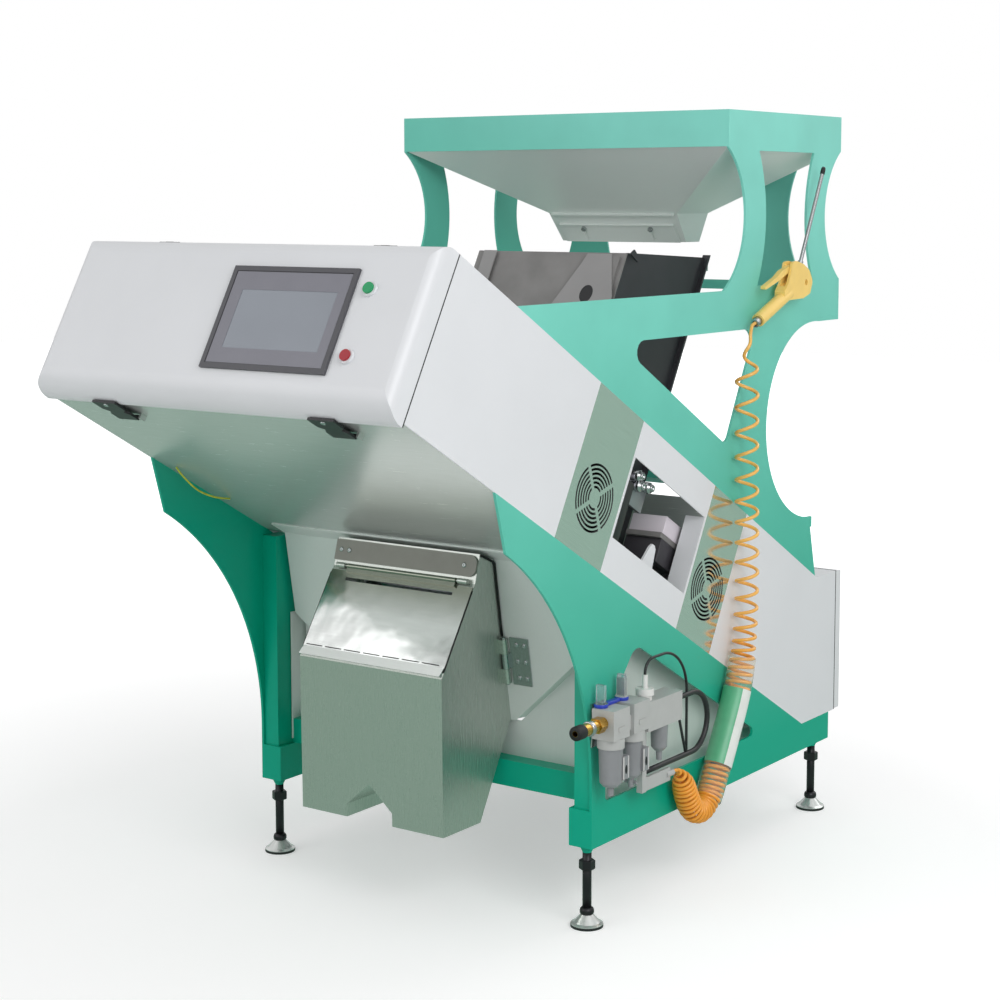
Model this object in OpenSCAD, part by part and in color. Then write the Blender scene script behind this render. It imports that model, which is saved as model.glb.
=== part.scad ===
// Optical colour sorter with one chute: a hopper on top feeds a tilted sorting body.
// Millimetres, +Z up, +X to the operator's right seen from the front, +Y to the rear.

/* [Frame] */
// Width over the two side frames
frame_w = 900; // [840:10:1000]
// Thickness of the side frame plates
plate_t = 6; // [4:1:8]
// Tilt of the sorting body from the horizontal
body_tilt = 29.5; // [28:0.5:31]
// Height of the base above the floor
base_z = 173; // [150:1:190]
// Rear end of the base
base_len = 1061; // [1040:1:1090]
// Height of the base bar at its rear end
base_h = 65; // [55:1:75]
// Height of the hopper rim
rim_z = 1684; // [1650:1:1720]
// Depth of the top band
band_h = 80; // [60:1:100]
// Front of the top band
top_front = 535; // [520:1:550]
// Rear of the top band
top_rear = 1079; // [1060:1:1100]
// Top of the horizontal beam
beam_z = 1290; // [1275:1:1300]
// Depth of the horizontal beam
beam_h = 88; // [70:1:95]

/* [Sorting body] */
// Lower face of the body, measured across the tilt
body_low = 660; // [650:1:670]
// Upper face of the body, measured across the tilt
body_high = 994; // [980:1:1010]
// Sheet thickness of covers and panels
sheet = 3; // [2:0.5:3]
// Front end of the box along the tilt
box_front = -1069; // [-1100:1:-1040]
// Length of the white front panel
front_panel_l = 539; // [520:1:560]
// Length of the front fan panel
front_fan_l = 188; // [180:1:200]
// Length of the sorting bay
bay_l = 344; // [340:1:360]
// Length of the rear fan panel
rear_fan_l = 165; // [162:1:180]
// Rear seam of the rear box
seam_y = 1091; // [1080:1:1110]
// Top of the rear box
rear_top_z = 585; // [560:1:610]
// Strip above and below the bay window
bay_strip = 78; // [60:1:90]
// Radius of the fan guard slots
guard_r = 70; // [60:1:72]
// Side of the square cooling fan
fan_side = 150; // [148:1:154]
// Depth of the cooling fan
fan_depth = 38; // [25:1:45]

/* [Front cover] */
// Depth of the front cover
cover_d = 55; // [50:1:70]
// Radius of the top edge of the cover
cover_r = 38; // [20:1:40]
// Radius of the bottom edge of the cover
cover_low_r = 50; // [30:1:54]
// Radius of the upright edges of the cover
cover_side_r = 22; // [12:1:30]
// Overhang of the cover below the body
cover_drop = 8; // [4:1:12]
// Width of the touch panel bezel
screen_w = 305; // [280:1:320]
// Height of the touch panel bezel
screen_h = 212; // [190:1:220]
// Distance of the touch panel's middle from the right side
screen_in = 313; // [305:1:330]
// Width of the touch panel's rim
rim_w = 10; // [6:1:14]
// Diameter of the push buttons
button_d = 22; // [16:1:24]
// Travel of the push buttons
button_travel = 3; // [2:0.5:4]
// Distance of the buttons from the right side
button_in = 125; // [105:1:135]
// Distance of the hinges and latches from the middle
hinge_x = 277; // [240:1:300]

/* [Hopper and chute] */
// Width of the throat
throat_w = 364; // [330:1:390]
// Height of the throat mouth
throat_z = 1388; // [1380:1:1400]
// Width of the chute over its side plates
chute_w = 412; // [400:1:430]
// Thickness of the chute side plates
chute_t = 6; // [4:1:8]
// Length of the adjusting gate
gate_l = 55; // [50:1:60]
// Travel of the adjusting gate
gate_travel = 28; // [20:1:30]
// Stroke of the feeder tray each way
feeder_stroke = 1.5; // [1:0.5:2]

/* [Outlet] */
// Width of the outlet box
outlet_w = 380; // [360:1:390]
// Height of the outlet mouths above the floor
outlet_z = 190; // [180:1:200]
// Diameter of the hinge pins
pin_d = 8; // [6:1:10]

/* [Feet] */
// Diameter of the foot pads
pad_d = 68; // [60:1:80]
// Diameter of the levelling screws
stem_d = 20; // [16:1:24]
// Distance of the feet from the outer face of the frame
foot_inset = 28; // [26:1:30]

/* [Air] */
// Diameter of the brass inlet
inlet_d = 26; // [22:1:28]
// Bore of the brass inlet
inlet_bore = 12; // [8:1:14]
// Outer diameter of the coiled hose
coil_d = 56; // [50:1:58]

/* [Hidden] */
$fn = 64;
corner_steps = 6;
fit = 0.3;
run = 0.05;
skin = 1;
crease = 0.2;
half_w = frame_w / 2;
in_x = half_w - plate_t;
lining_x = half_w - sheet;
beam_low = beam_z - beam_h;
band_low = rim_z - band_h;
base_top = base_z + base_h;
body_h = body_high - body_low;

// Stations along the tilt
fan1_s = box_front + front_panel_l;
bay_s = fan1_s + front_fan_l;
fan2_s = bay_s + bay_l;
rear_s = fan2_s + rear_fan_l;
wall2_s = bay_s + bay_l + 93;
fan_t = body_low + 122;

frame_green = "#5fc8b4";
cover_white = "#e8eaec";
steel = "#c2c4c4";
dark = "#3a383c";
grey = "#8f9294";

// Point of the side view from a place along and across the tilt
function yz(s, t) = [s * cos(body_tilt) + t * sin(body_tilt), t * cos(body_tilt) - s * sin(body_tilt)];
// Depth of the line across the tilt at a height
function y_at(t, z) = (t - z * cos(body_tilt)) / sin(body_tilt);
function z_at(t, y) = (t - y * sin(body_tilt)) / cos(body_tilt);
function unit(v) = v / norm(v);
function wrap(a) = a > 180 ? a - 360 : a < -180 ? a + 360 : a;
function flat(p) = [p[0], p[1]];
// Corner b between a and c, drawn as an arc of radius r
function corner(a, b, c, r) = r == 0 ? [b] :
    let (u = unit(a - b), w = unit(c - b), half = acos(u * w) / 2, m = b + unit(u + w) * (r / sin(half)),
        p = b + u * (r / tan(half)) - m, q = b + w * (r / tan(half)) - m,
        start = atan2(p[1], p[0]), turn = wrap(atan2(q[1], q[0]) - start))
    [for (i = [0 : corner_steps]) m + r * [cos(start + turn * i / corner_steps), sin(start + turn * i / corner_steps)]];
// Outline of points [y, z, radius] with every corner rounded
function rounded(p) = let (n = len(p)) [for (i = [0 : n - 1])
    each corner(flat(p[(i + n - 1) % n]), flat(p[i]), flat(p[(i + 1) % n]), p[i][2])];

module place() { translate([-mid_x, -mid_y, 0]) children(); }
module on_tilt() { rotate([-body_tilt, 0, 0]) children(); }
// Side view outline carried across the machine from x0 for a width w
module across(x0, w) { translate([x0, 0, 0]) rotate([90, 0, 90]) linear_extrude(w) children(); }
module both() {
    children();
    mirror([1, 0, 0]) children();
}
// Spandrel outside an arc of radius r in the corner at the origin
module spandrel(r) {
    difference() {
        translate([-skin, -skin]) square(r + skin);
        translate([r, r]) circle(r);
    }
}
// Rectangle from a to b with arcs of the radii r at the two corners of its first side
module soft_side(a, b, r) {
    difference() {
        translate(a) square(b - a);
        translate(a) spandrel(r[0]);
        translate([a[0], b[1]]) mirror([0, 1]) spandrel(r[1]);
    }
}
// Box given by its lowest and highest corners
module span(a, b) { translate(a) cube(b - a); }
module rod_x(x0, x1, d) { translate([x0, 0, 0]) rotate([0, 90, 0]) cylinder(h = x1 - x0, d = d); }

// Side frames
column_arc = [104, 1451, 184];
bulge_arc = [157, 1450, 330];
flare = 15;
window_side = 137;
window_top = 7;
window_low = 6;
rear_arc = [124, 970, 233];
triangle_t = body_high + 97;
triangle_top = beam_low - 1;
triangle_rear = 411;
triangle_low = 542;
band_end = [131, 101];
band_high = body_high + 96;

module upper_outline() {
    tip = [y_at(body_high, beam_z), beam_z];
    arc_y = top_rear - rear_arc[0];
    difference() {
        union() {
            translate([top_front, beam_low]) square([top_rear - top_front, rim_z - beam_low]);
            translate([top_front - flare, beam_low]) square([flare, beam_h + flare]);
            polygon([tip, [top_rear, beam_z], [top_rear, beam_low], [arc_y, beam_low],
                [arc_y, z_at(band_high, arc_y)], [top_rear - band_end[0], z_at(band_high, arc_y)],
                [top_rear - band_end[1], z_at(body_high, top_rear - band_end[1])]]);
        }
        difference() {
            for (y = [top_front - column_arc[0], top_rear + column_arc[0]])
                translate([y, column_arc[1]]) circle(column_arc[2], $fn = 128);
            translate([top_front - column_arc[0] - column_arc[2], beam_low]) square([top_rear, beam_h]);
        }
        translate([arc_y, rear_arc[1]]) circle(rear_arc[2], $fn = 128);
        difference() {
            translate([top_front + window_side, beam_z + window_low])
                square([top_rear - top_front - 2 * window_side, band_low - window_top - beam_z - window_low]);
            translate([top_front - bulge_arc[0], bulge_arc[1]]) circle(bulge_arc[2], $fn = 128);
            translate([top_rear + bulge_arc[0], bulge_arc[1]]) circle(bulge_arc[2], $fn = 128);
        }
        polygon(rounded([[y_at(triangle_t, triangle_top), triangle_top, 25],
            [top_rear - triangle_rear, triangle_top, 30],
            [top_rear - triangle_low, z_at(triangle_t, top_rear - triangle_low), 20]]));
    }
}
module upper_frame() { color(frame_green) across(in_x, plate_t) upper_outline(); }
module upper_frame_right() {
    place() upper_frame();
    color(frame_green) place() gun_peg();
}
module upper_frame_left() { place() mirror([1, 0, 0]) upper_frame(); }

leg_arc_r = 612;
leg_arc_z = 300;
lower_band = 83;
leg_w = 48;
cut_low = 89;
cut_top = [430, 165];
front_end = [-333, -298];

module lower_outline() {
    front_top = [front_end[0], z_at(body_low, front_end[0])];
    front_low = [front_end[1], leg_arc_z + sqrt(pow(leg_arc_r, 2) - pow(leg_arc_r + front_end[1], 2))];
    cut_t = body_low - lower_band;
    cut_z = base_z + cut_low;
    difference() {
        polygon([front_top, [y_at(body_low, base_top), base_top], [base_len, base_top], [base_len, base_z],
            [0, base_z], [0, leg_arc_z], front_low]);
        translate([-leg_arc_r, leg_arc_z]) circle(leg_arc_r, $fn = 192);
        polygon(rounded([[leg_w, cut_z, 15], [leg_w, cut_top[0], 60], [cut_top[1], z_at(cut_t, cut_top[1]), 35],
            [y_at(cut_t, cut_z), cut_z, 12]]));
    }
}
module lower_frame() { color(frame_green) across(in_x, plate_t) lower_outline(); }
module lower_frame_right() { place() lower_frame(); }
module lower_frame_left() { place() mirror([1, 0, 0]) lower_frame(); }

// Foot boxes with the front posts, square tube inside the side frames
foot_box_w = 50;
foot_box_d = 85;
foot_box_h = 79;
post_w = 40;
post_y = [5, 60];
post_top = 735;
rear_box_y = base_len - foot_box_d;
module leg_posts() {
    color(frame_green) place() both() {
        difference() {
            span([in_x - foot_box_w, 0, base_z], [in_x, foot_box_d, base_z + foot_box_h]);
            translate([half_w - foot_inset, foot_y[0], base_z - skin]) cylinder(h = foot_box_h / 2, d = stem_d + 2 * run);
        }
        span([in_x - post_w, post_y[0], base_z + foot_box_h], [in_x, post_y[1], post_top]);
        difference() {
            span([in_x - foot_box_w, rear_box_y, base_z], [in_x, base_len, base_top]);
            translate([half_w - foot_inset, foot_y[1], base_z - skin]) cylinder(h = foot_box_h / 2, d = stem_d + 2 * run);
        }
    }
}

// Beams across the base, and the bar that carries the chute
cross_y = [52, 92];
cross_z = [252, 308];
rear_cross_y = [base_len - 121, base_len - 91];
chute_bar = 30;
chute_bar_t = body_high + 36;
module cross_beams() {
    color(frame_green) place() {
        span([-in_x + foot_box_w, cross_y[0], cross_z[0]], [in_x - foot_box_w, cross_y[1], cross_z[1]]);
        both() span([in_x - foot_box_w, cross_y[0], base_z + foot_box_h], [in_x - post_w, cross_y[1], cross_z[1]]);
        span([-in_x, rear_cross_y[0], base_z], [in_x, rear_cross_y[1], base_top - base_h / 3]);
        on_tilt() span([-in_x, chute_s[1], chute_bar_t], [in_x, chute_s[1] + chute_bar, chute_bar_t + chute_bar]);
    }
}

// Top frame of the hopper
module hopper_front_band() {
    color(frame_green) place() span([-in_x, top_front, band_low], [in_x, top_front + plate_t, rim_z]);
}
rear_leg_in = 225;
rear_leg_out = 372;
rear_leg_bow = 90;
rear_leg_arc = [240, 300];
rear_gap_arc = [440, 430];
rear_strip = 23;
module hopper_rear_frame() {
    color(frame_green) place() translate([0, top_rear, 0]) rotate([90, 0, 0]) linear_extrude(plate_t) {
        translate([-in_x, band_low]) square([2 * in_x, band_h]);
        translate([-in_x, beam_z - rear_strip]) square([2 * in_x, rear_strip]);
        both() difference() {
            translate([rear_leg_in - rear_leg_bow / 2, beam_z - rear_strip])
                square([rear_leg_out - rear_leg_in + rear_leg_bow / 2, band_low - beam_z + rear_strip]);
            translate([rear_leg_out + rear_leg_arc[0], (beam_z + band_low) / 2]) circle(rear_leg_arc[1], $fn = 128);
            translate([rear_leg_in - rear_gap_arc[0], (beam_z + band_low) / 2]) circle(rear_gap_arc[1], $fn = 128);
        }
    }
}

// Levelling feet
foot_y = [26, base_len - 35];
pad_h = 26;
nut_h = 10;
nut_d = 34;
ball_d = 26;
module each_foot() {
    for (sx = [-1, 1], y = foot_y) translate([sx * (half_w - foot_inset), y, 0]) children();
}
module foot_stems() {
    color("#2c2c2e") place() each_foot() {
        translate([0, 0, pad_h]) cylinder(h = base_z + foot_box_h / 2 - skin - pad_h - 1, d = stem_d);
        translate([0, 0, base_z - nut_h]) difference() {
            cylinder(h = nut_h, d = nut_d, $fn = 6);
            translate([0, 0, -skin]) cylinder(h = nut_h + 2 * skin, d = stem_d + 2 * run);
        }
        translate([0, 0, pad_h + 40]) rotate_extrude() polygon([[0, 0], [ball_d / 2, 6], [ball_d / 2, 12], [0, 18]]);
    }
}
module foot_pads() {
    color("#9a9c9e") place() each_foot() rotate_extrude()
        polygon([[0, 0], [pad_d / 2, 0], [pad_d / 2, 7], [pad_d / 2 - 6, 10], [ball_d / 2, pad_h], [0, pad_h]]);
}

// Covers of the sorting body
chute_s = [bay_s + 115, fan2_s + 83];
module side_sheet(s0, s1) { span([lining_x, s0, body_low], [half_w, s1, body_high]); }
module front_box_shell() {
    color(cover_white) place() on_tilt() {
        both() side_sheet(box_front, fan1_s);
        span([-lining_x, box_front, body_high - sheet], [lining_x, bay_s, body_high]);
    }
}
module underside_sheet() {
    color(steel) place() on_tilt() {
        span([-lining_x, box_front, body_low], [lining_x, bay_s, body_low + sheet]);
        latch_lugs();
    }
}

// Ring slots of a fan guard, left open in four sectors
guard_rings = 6;
guard_hub = 16;
guard_spoke = 9;
slot_w = 5;
module guard_slots() {
    pitch = (guard_r - guard_hub) / guard_rings;
    difference() {
        for (i = [1 : guard_rings]) difference() {
            cylinder(h = sheet + 2 * skin, r = guard_hub + i * pitch);
            translate([0, 0, -skin]) cylinder(h = sheet + 4 * skin, r = guard_hub + i * pitch - slot_w);
        }
        for (a = [45, 135]) rotate([0, 0, a])
            translate([-guard_r - skin, -guard_spoke / 2, -skin]) cube([2 * guard_r + 2 * skin, guard_spoke, sheet + 4 * skin]);
    }
}
module fan_panel(s0, s1) {
    difference() {
        side_sheet(s0, s1);
        translate([lining_x - skin, (s0 + s1) / 2, fan_t]) rotate([0, 90, 0]) guard_slots();
    }
}
module front_fan_panels() { color(steel) place() on_tilt() both() fan_panel(fan1_s, bay_s); }
module rear_fan_panels() { color(steel) place() on_tilt() both() fan_panel(fan2_s, rear_s); }

// White frame round the bay window with a deep return at its rear side
bay_edge = 8;
reveal = 45;
module bay_frames() {
    color(cover_white) place() on_tilt() both() {
        difference() {
            side_sheet(bay_s, fan2_s);
            span([lining_x - skin, bay_s + bay_edge, body_low + bay_strip],
                [half_w + skin, fan2_s - bay_edge, body_high - bay_strip]);
        }
        span([lining_x - reveal, fan2_s - bay_edge, body_low + bay_strip],
            [lining_x, fan2_s - bay_edge + sheet, body_high - bay_strip]);
    }
}

// Rear box: outline of the side view, d inside its skin
function rear_outline(d, e) = [yz(rear_s - e, body_low + d), yz(rear_s - e, body_high - d),
    [y_at(body_high - d, rear_top_z - d), rear_top_z - d], [seam_y + e, rear_top_z - d],
    [seam_y + e, base_top + d], [y_at(body_low + d, base_top + d), base_top + d]];
module rear_box_shell() {
    color(cover_white) place() {
        difference() {
            across(-half_w, frame_w) polygon(rear_outline(0, 0));
            across(-lining_x, 2 * lining_x) polygon(rear_outline(sheet, skin));
        }
        on_tilt() for (t = [body_low, body_high - sheet])
            span([-lining_x, wall2_s + sheet, t], [lining_x, rear_s, t + sheet]);
        door_hinge_halves();
    }
}

// Rear door, hinged on its left side
door_d = 40;
door_r = 20;
door_gap = 2;
door_barrel = 10;
door_axis = door_barrel / 2 + 0.5;
door_pin = 5;
door_leaf = [3, 22, 20];
door_hinge_z = [base_top + 80, rear_top_z - 80];

// Origin of the part: the floor under the middle of its box
frl_reach = 68;
mid_x = (frl_reach - max(door_axis + door_barrel / 2, pad_d / 2 - foot_inset)) / 2;
front_y = yz(box_front - cover_d + cover_low_r, body_low - cover_drop + cover_low_r)[0] - cover_low_r;
mid_y = (seam_y + door_d + front_y) / 2;

// Solid of the door, d inside its skin
module door_form(d, e) {
    r = door_r - d;
    z = [base_top + door_gap + d, rear_top_z - door_gap - d];
    y = [seam_y - e, seam_y + door_d - d];
    x = half_w - d;
    intersection() {
        across(-x, 2 * x) mirror([1, 0]) soft_side([-y[1], z[0]], [-y[0], z[1]], [r, r]);
        translate([0, 0, z[0]]) linear_extrude(z[1] - z[0])
            mirror([1, -1]) mirror([1, 0]) soft_side([-y[1], -x], [-y[0], x], [r, r]);
    }
}
module on_door_hinge() { for (z = door_hinge_z) translate([-half_w - door_axis, seam_y, z]) children(); }
module door_barrels(z0, z1) { translate([0, 0, z0]) cylinder(h = z1 - z0, d = door_barrel); }
module rear_door() {
    h = door_leaf[2] / 2;
    color(cover_white) place() difference() {
        union() {
            difference() {
                door_form(0, 0);
                door_form(sheet, skin);
            }
            on_door_hinge() {
                door_barrels(-h, h);
                span([door_axis - door_leaf[0], fit, -h], [door_axis, door_leaf[1], h]);
            }
        }
        on_door_hinge() translate([0, 0, -2 * h]) cylinder(h = 4 * h, d = door_pin + 2 * run);
    }
}
module door_hinge_halves() {
    h = door_leaf[2] / 2;
    on_door_hinge() {
        translate([0, 0, -3 * h]) cylinder(h = 6 * h, d = door_pin);
        for (z = [-3 * h, h + fit]) {
            door_barrels(z, z + 2 * h - fit);
            span([door_axis - door_leaf[0], -door_leaf[1], z], [door_axis, -fit, z + 2 * h - fit]);
        }
    }
}

// Cooling fans behind the right hand panels
fan_r = fan_side / 2 - 8;
fan_hub_r = 22;
blades = 7;
blade_pitch = 35;
motor_d = 40;
shaft_d = 8;
module fan_at(s) { translate([lining_x - fan_depth, s, fan_t]) rotate([0, 90, 0]) children(); }
module fan_frame() {
    difference() {
        translate([-fan_side / 2, -fan_side / 2, 0]) cube([fan_side, fan_side, fan_depth]);
        translate([0, 0, -skin]) cylinder(h = fan_depth + 2 * skin, r = fan_r + 2);
    }
    cylinder(h = 6, d = motor_d);
    for (a = [0, 120, 240]) rotate([0, 0, a]) translate([0, -4, 0]) cube([fan_r + 3, 8, 4]);
    cylinder(h = 14, d = shaft_d);
}
module fan_rotor() {
    difference() {
        union() {
            translate([0, 0, 9]) cylinder(h = 22, r = fan_hub_r);
            for (i = [0 : blades - 1]) rotate([0, 0, i * 360 / blades])
                translate([fan_hub_r - 4, 0, 20]) rotate([blade_pitch, 0, 0])
                translate([0, -14, -skin]) cube([fan_r - fan_hub_r + 3, 28, 2]);
        }
        translate([0, 0, 8]) cylinder(h = 8, d = shaft_d + 2 * run);
    }
}
module fan_frames() { color(dark) place() on_tilt() for (s = [fan1_s + bay_s, fan2_s + rear_s]) fan_at(s / 2) fan_frame(); }
module front_fan_rotor() { color("#242426") place() on_tilt() fan_at((fan1_s + bay_s) / 2) fan_rotor(); }
module rear_fan_rotor() { color("#242426") place() on_tilt() fan_at((fan2_s + rear_s) / 2) fan_rotor(); }

// Walls of the bay with the viewing windows, glass, lamps and cameras
view_w = 380;
view_t = [body_low + 70, body_high - 94];
glass_t = 5;
glass_lap = 14;
wall2_x = lining_x - fan_depth - 4;
module view_cut(s) { span([-view_w / 2, s - skin, view_t[0]], [view_w / 2, s + sheet + skin, view_t[1]]); }
module optic_walls() {
    color(steel) place() on_tilt() {
        difference() {
            span([-lining_x, bay_s - sheet, body_low + sheet], [lining_x, bay_s, body_high - sheet]);
            view_cut(bay_s - sheet);
        }
        difference() {
            span([-wall2_x, wall2_s, body_low], [wall2_x, wall2_s + sheet, body_high]);
            view_cut(wall2_s);
        }
    }
}
module window_glasses() {
    color("#b8d8e0", 0.5) place() on_tilt() for (s = [bay_s - sheet - glass_t, wall2_s + sheet])
        span([-view_w / 2 - glass_lap, s, view_t[0] - glass_lap], [view_w / 2 + glass_lap, s + glass_t, view_t[1] + glass_lap]);
}
lamp = [360, 30, 34];
module lamp_bars() {
    color("#d8dde2") place() on_tilt() for (s = [bay_s - sheet - lamp[1], wall2_s + sheet], t = [view_t[0] - glass_lap - lamp[2] - 1, view_t[1] + glass_lap + 1])
        span([-lamp[0], s, t], [lamp[0], s + lamp[1], t + lamp[2]]);
}
camera_s = [-900, 430];
camera = [90, 130, 90];
camera_t = (view_t[0] + view_t[1]) / 2;
lens_d = 54;
lens_l = 50;
module camera_unit(turn) {
    span([-camera[0] / 2, -camera[1] / 2, camera_t - camera[2] / 2], [camera[0] / 2, camera[1] / 2, camera_t + camera[2] / 2]);
    translate([0, turn * camera[1] / 2, camera_t]) rotate([-turn * 90, 0, 0]) cylinder(h = lens_l, d = lens_d);
    span([-camera[0] / 3, -camera[1] / 3, body_low + sheet], [camera[0] / 3, camera[1] / 3, camera_t - camera[2] / 2]);
}
module cameras() {
    color(dark) place() on_tilt() {
        translate([0, camera_s[0], 0]) camera_unit(1);
        translate([0, camera_s[1], 0]) camera_unit(-1);
    }
}

// Ejector bar under the end of the chute, with its valves at both ends
ejector_t = [body_low + 14, body_low + 66];
ejector_s = [wall2_s - 80, wall2_s];
ejector_x = 385;
valve = [26, 52, 46];
valves = 5;
module ejector_manifold() {
    color("#a9a3ad") place() on_tilt() {
        difference() {
            span([-ejector_x, ejector_s[0], ejector_t[0]], [ejector_x, ejector_s[1], ejector_t[1]]);
            span([-view_w / 2, ejector_s[0] - skin, ejector_t[0] + 20], [view_w / 2, ejector_s[0] + 6, ejector_t[0] + 26]);
        }
        both() span([chute_w / 2 + 10, ejector_s[1] - 60, ejector_t[1] + valve[2]], [ejector_x, ejector_s[1], ejector_t[1] + valve[2] + 44]);
    }
}
module solenoid_valves() {
    color("#2e2c30") place() on_tilt() both() for (i = [0 : valves - 1])
        span([chute_w / 2 + 14 + i * (valve[0] + 7), ejector_s[1] - valve[1] - 4, ejector_t[1]],
            [chute_w / 2 + 14 + i * (valve[0] + 7) + valve[0], ejector_s[1] - 4, ejector_t[1] + valve[2]]);
}

// Rodless cylinder with the window wiper
wiper_rod_d = 22;
wiper_t = view_t[1] + 40;
wiper_s = bay_s + 24;
wiper_w = 26;
wiper_over = 20;
wiper_travel = view_w + 2 * wiper_over;
rod_end = view_w / 2 + 80;
block = [34, 48, 34];
module wiper_cylinder() {
    color("#d2d2d0") place() on_tilt() {
        translate([0, wiper_s, wiper_t]) rod_x(-rod_end, rod_end, wiper_rod_d);
        both() span([rod_end, bay_s, wiper_t - block[2] / 2], [rod_end + block[0], bay_s + block[1], wiper_t + block[2] / 2]);
    }
}
module wiper() {
    color("#4a4a4c") place() on_tilt() translate([-wiper_travel / 2, 0, 0]) {
        difference() {
            span([-wiper_w / 2, wiper_s - 18, wiper_t - 20], [wiper_w / 2, wiper_s + 22, wiper_t + 20]);
            translate([0, wiper_s, wiper_t]) rod_x(-wiper_w, wiper_w, wiper_rod_d + 2 * run);
        }
        span([-wiper_w / 4, bay_s + fit, view_t[0]], [wiper_w / 4, wiper_s - 8, wiper_t - 20]);
    }
}

// Front cover with the touch panel, hinged at its top edge
face_s = box_front - cover_d;
cover_low = body_low - cover_drop;
screen_t = (body_low + body_high) / 2 - 4;
hmi_d = 34;
hmi_edge = 10;
bezel_d = 6;
film_d = 1.5;
display_in = [22, 36, 28, 35];
screen_x = half_w - screen_in;
knuckle_d = 14;
knuckle_l = 20;
hinge_t = body_high + knuckle_d / 2;
leaf = 16;
button_t = [screen_t + 67, screen_t - 67];
button_rise = 6;
button_x = half_w - button_in;
button_stem = button_d - 8;
collar = 4;
// Solid of the cover, d inside its skin
module cover_form(d, e) {
    r = cover_side_r - d;
    intersection() {
        across(-half_w + d, frame_w - 2 * d) soft_side([face_s + d, cover_low + d],
            [box_front + e, body_high - d], [cover_low_r - d, cover_r - d]);
        translate([0, 0, cover_low]) linear_extrude(body_high - cover_low)
            mirror([1, -1])
            soft_side([face_s + d - crease, -half_w + d], [box_front + e, half_w - d], [r, r]);
    }
}
module on_face(x, t) { translate([x, face_s, t]) rotate([90, 0, 0]) children(); }
module front_cover() {
    color(cover_white) place() on_tilt() difference() {
        union() {
            difference() {
                cover_form(0, 0);
                cover_form(sheet, skin);
            }
            for (t = button_t) on_face(button_x, t) cylinder(h = button_rise, d = button_d + 2 * collar);
            for (sx = [-1, 1]) {
                translate([sx * hinge_x, box_front, hinge_t]) rod_x(-knuckle_l / 2 + fit, knuckle_l / 2 - fit, knuckle_d);
                span([sx * hinge_x - knuckle_l / 2 + fit, box_front - leaf, body_high - sheet],
                    [sx * hinge_x + knuckle_l / 2 - fit, box_front, body_high + 4]);
            }
        }
        span([screen_x - screen_w / 2 + hmi_edge, face_s - skin, screen_t - screen_h / 2 + hmi_edge],
            [screen_x + screen_w / 2 - hmi_edge, face_s + sheet + skin, screen_t + screen_h / 2 - hmi_edge]);
        for (t = button_t) {
            on_face(button_x, t) cylinder(h = 2 * button_rise, d = button_d + 2 * fit);
            on_face(button_x, t) translate([0, 0, -2 * sheet]) cylinder(h = 3 * sheet, d = button_stem + 2 * run);
        }
        for (sx = [-1, 1]) translate([sx * hinge_x, box_front, hinge_t]) rod_x(-knuckle_l, knuckle_l, pin_d + 2 * run);
    }
}
module screen_block(edge, s0, s1) {
    span([screen_x - screen_w / 2 + edge, s0, screen_t - screen_h / 2 + edge],
        [screen_x + screen_w / 2 - edge, s1, screen_t + screen_h / 2 - edge]);
}
module display_block(s0, s1) {
    span([screen_x - screen_w / 2 + display_in[0], s0, screen_t - screen_h / 2 + display_in[1]],
        [screen_x + screen_w / 2 - display_in[2], s1, screen_t + screen_h / 2 - display_in[3]]);
}
module screen_bezel() {
    color("#505054") place() on_tilt() difference() {
        union() {
            screen_block(0, face_s - bezel_d, face_s);
            screen_block(hmi_edge, face_s - skin, face_s + hmi_d);
        }
        screen_block(rim_w, face_s - bezel_d - skin, face_s - bezel_d + film_d);
        display_block(face_s - bezel_d, face_s - skin);
    }
}
module screen_glass() {
    color("#9aa0a8") place() on_tilt() display_block(face_s - bezel_d + film_d + fit, face_s - skin);
}
module push_button(t) {
    on_face(button_x, t) {
        translate([0, 0, button_travel]) cylinder(h = button_rise + 1, d = button_d);
        translate([0, 0, -sheet - 2]) cylinder(h = sheet + 3 + button_travel, d = button_stem);
        translate([0, 0, -sheet - 4]) cylinder(h = 3, d = button_d);
    }
}
module start_button() { color("#1f9a63") place() on_tilt() push_button(button_t[0]); }
module stop_button() { color("#a8202c") place() on_tilt() push_button(button_t[1]); }
module cover_hinges() {
    color("#343438") place() on_tilt() for (sx = [-1, 1]) translate([sx * hinge_x, 0, 0]) {
        translate([0, box_front, hinge_t]) rod_x(-knuckle_l - 6, knuckle_l + 6, pin_d);
        both() {
            translate([0, box_front, hinge_t]) rod_x(knuckle_l / 2, knuckle_l + 6, knuckle_d);
            span([knuckle_l / 2, box_front, body_high], [knuckle_l + 6, box_front + leaf, body_high + knuckle_d / 2]);
        }
        span([-knuckle_l - 6, box_front + leaf - 3, body_high], [knuckle_l + 6, box_front + 3 * leaf, body_high + 4]);
    }
}

// Latches under the cover, turning on lugs of the underside sheet
latch_w = [62, 38, 54];
latch_s = [box_front - 16, box_front + 16, box_front + 26, box_front + 38];
latch_t = cover_low - 1;
latch_h = 5;
latch_d = 5;
latch_barrel = 10;
lug_t = 5;
latch_pin = [box_front + 66, body_low - latch_barrel / 2 - 1.5];
module on_latch_pin() { translate([0, latch_pin[0], latch_pin[1]]) children(); }
module latch_lugs() {
    w = latch_w[2] / 2 + fit;
    for (sx = [-1, 1]) translate([sx * hinge_x, 0, 0]) {
        both() span([w, latch_pin[0] - 8, latch_pin[1] - latch_barrel / 2], [w + lug_t, latch_pin[0] + 8, body_low]);
        on_latch_pin() rod_x(-w - lug_t, w + lug_t, latch_d);
    }
}
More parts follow.
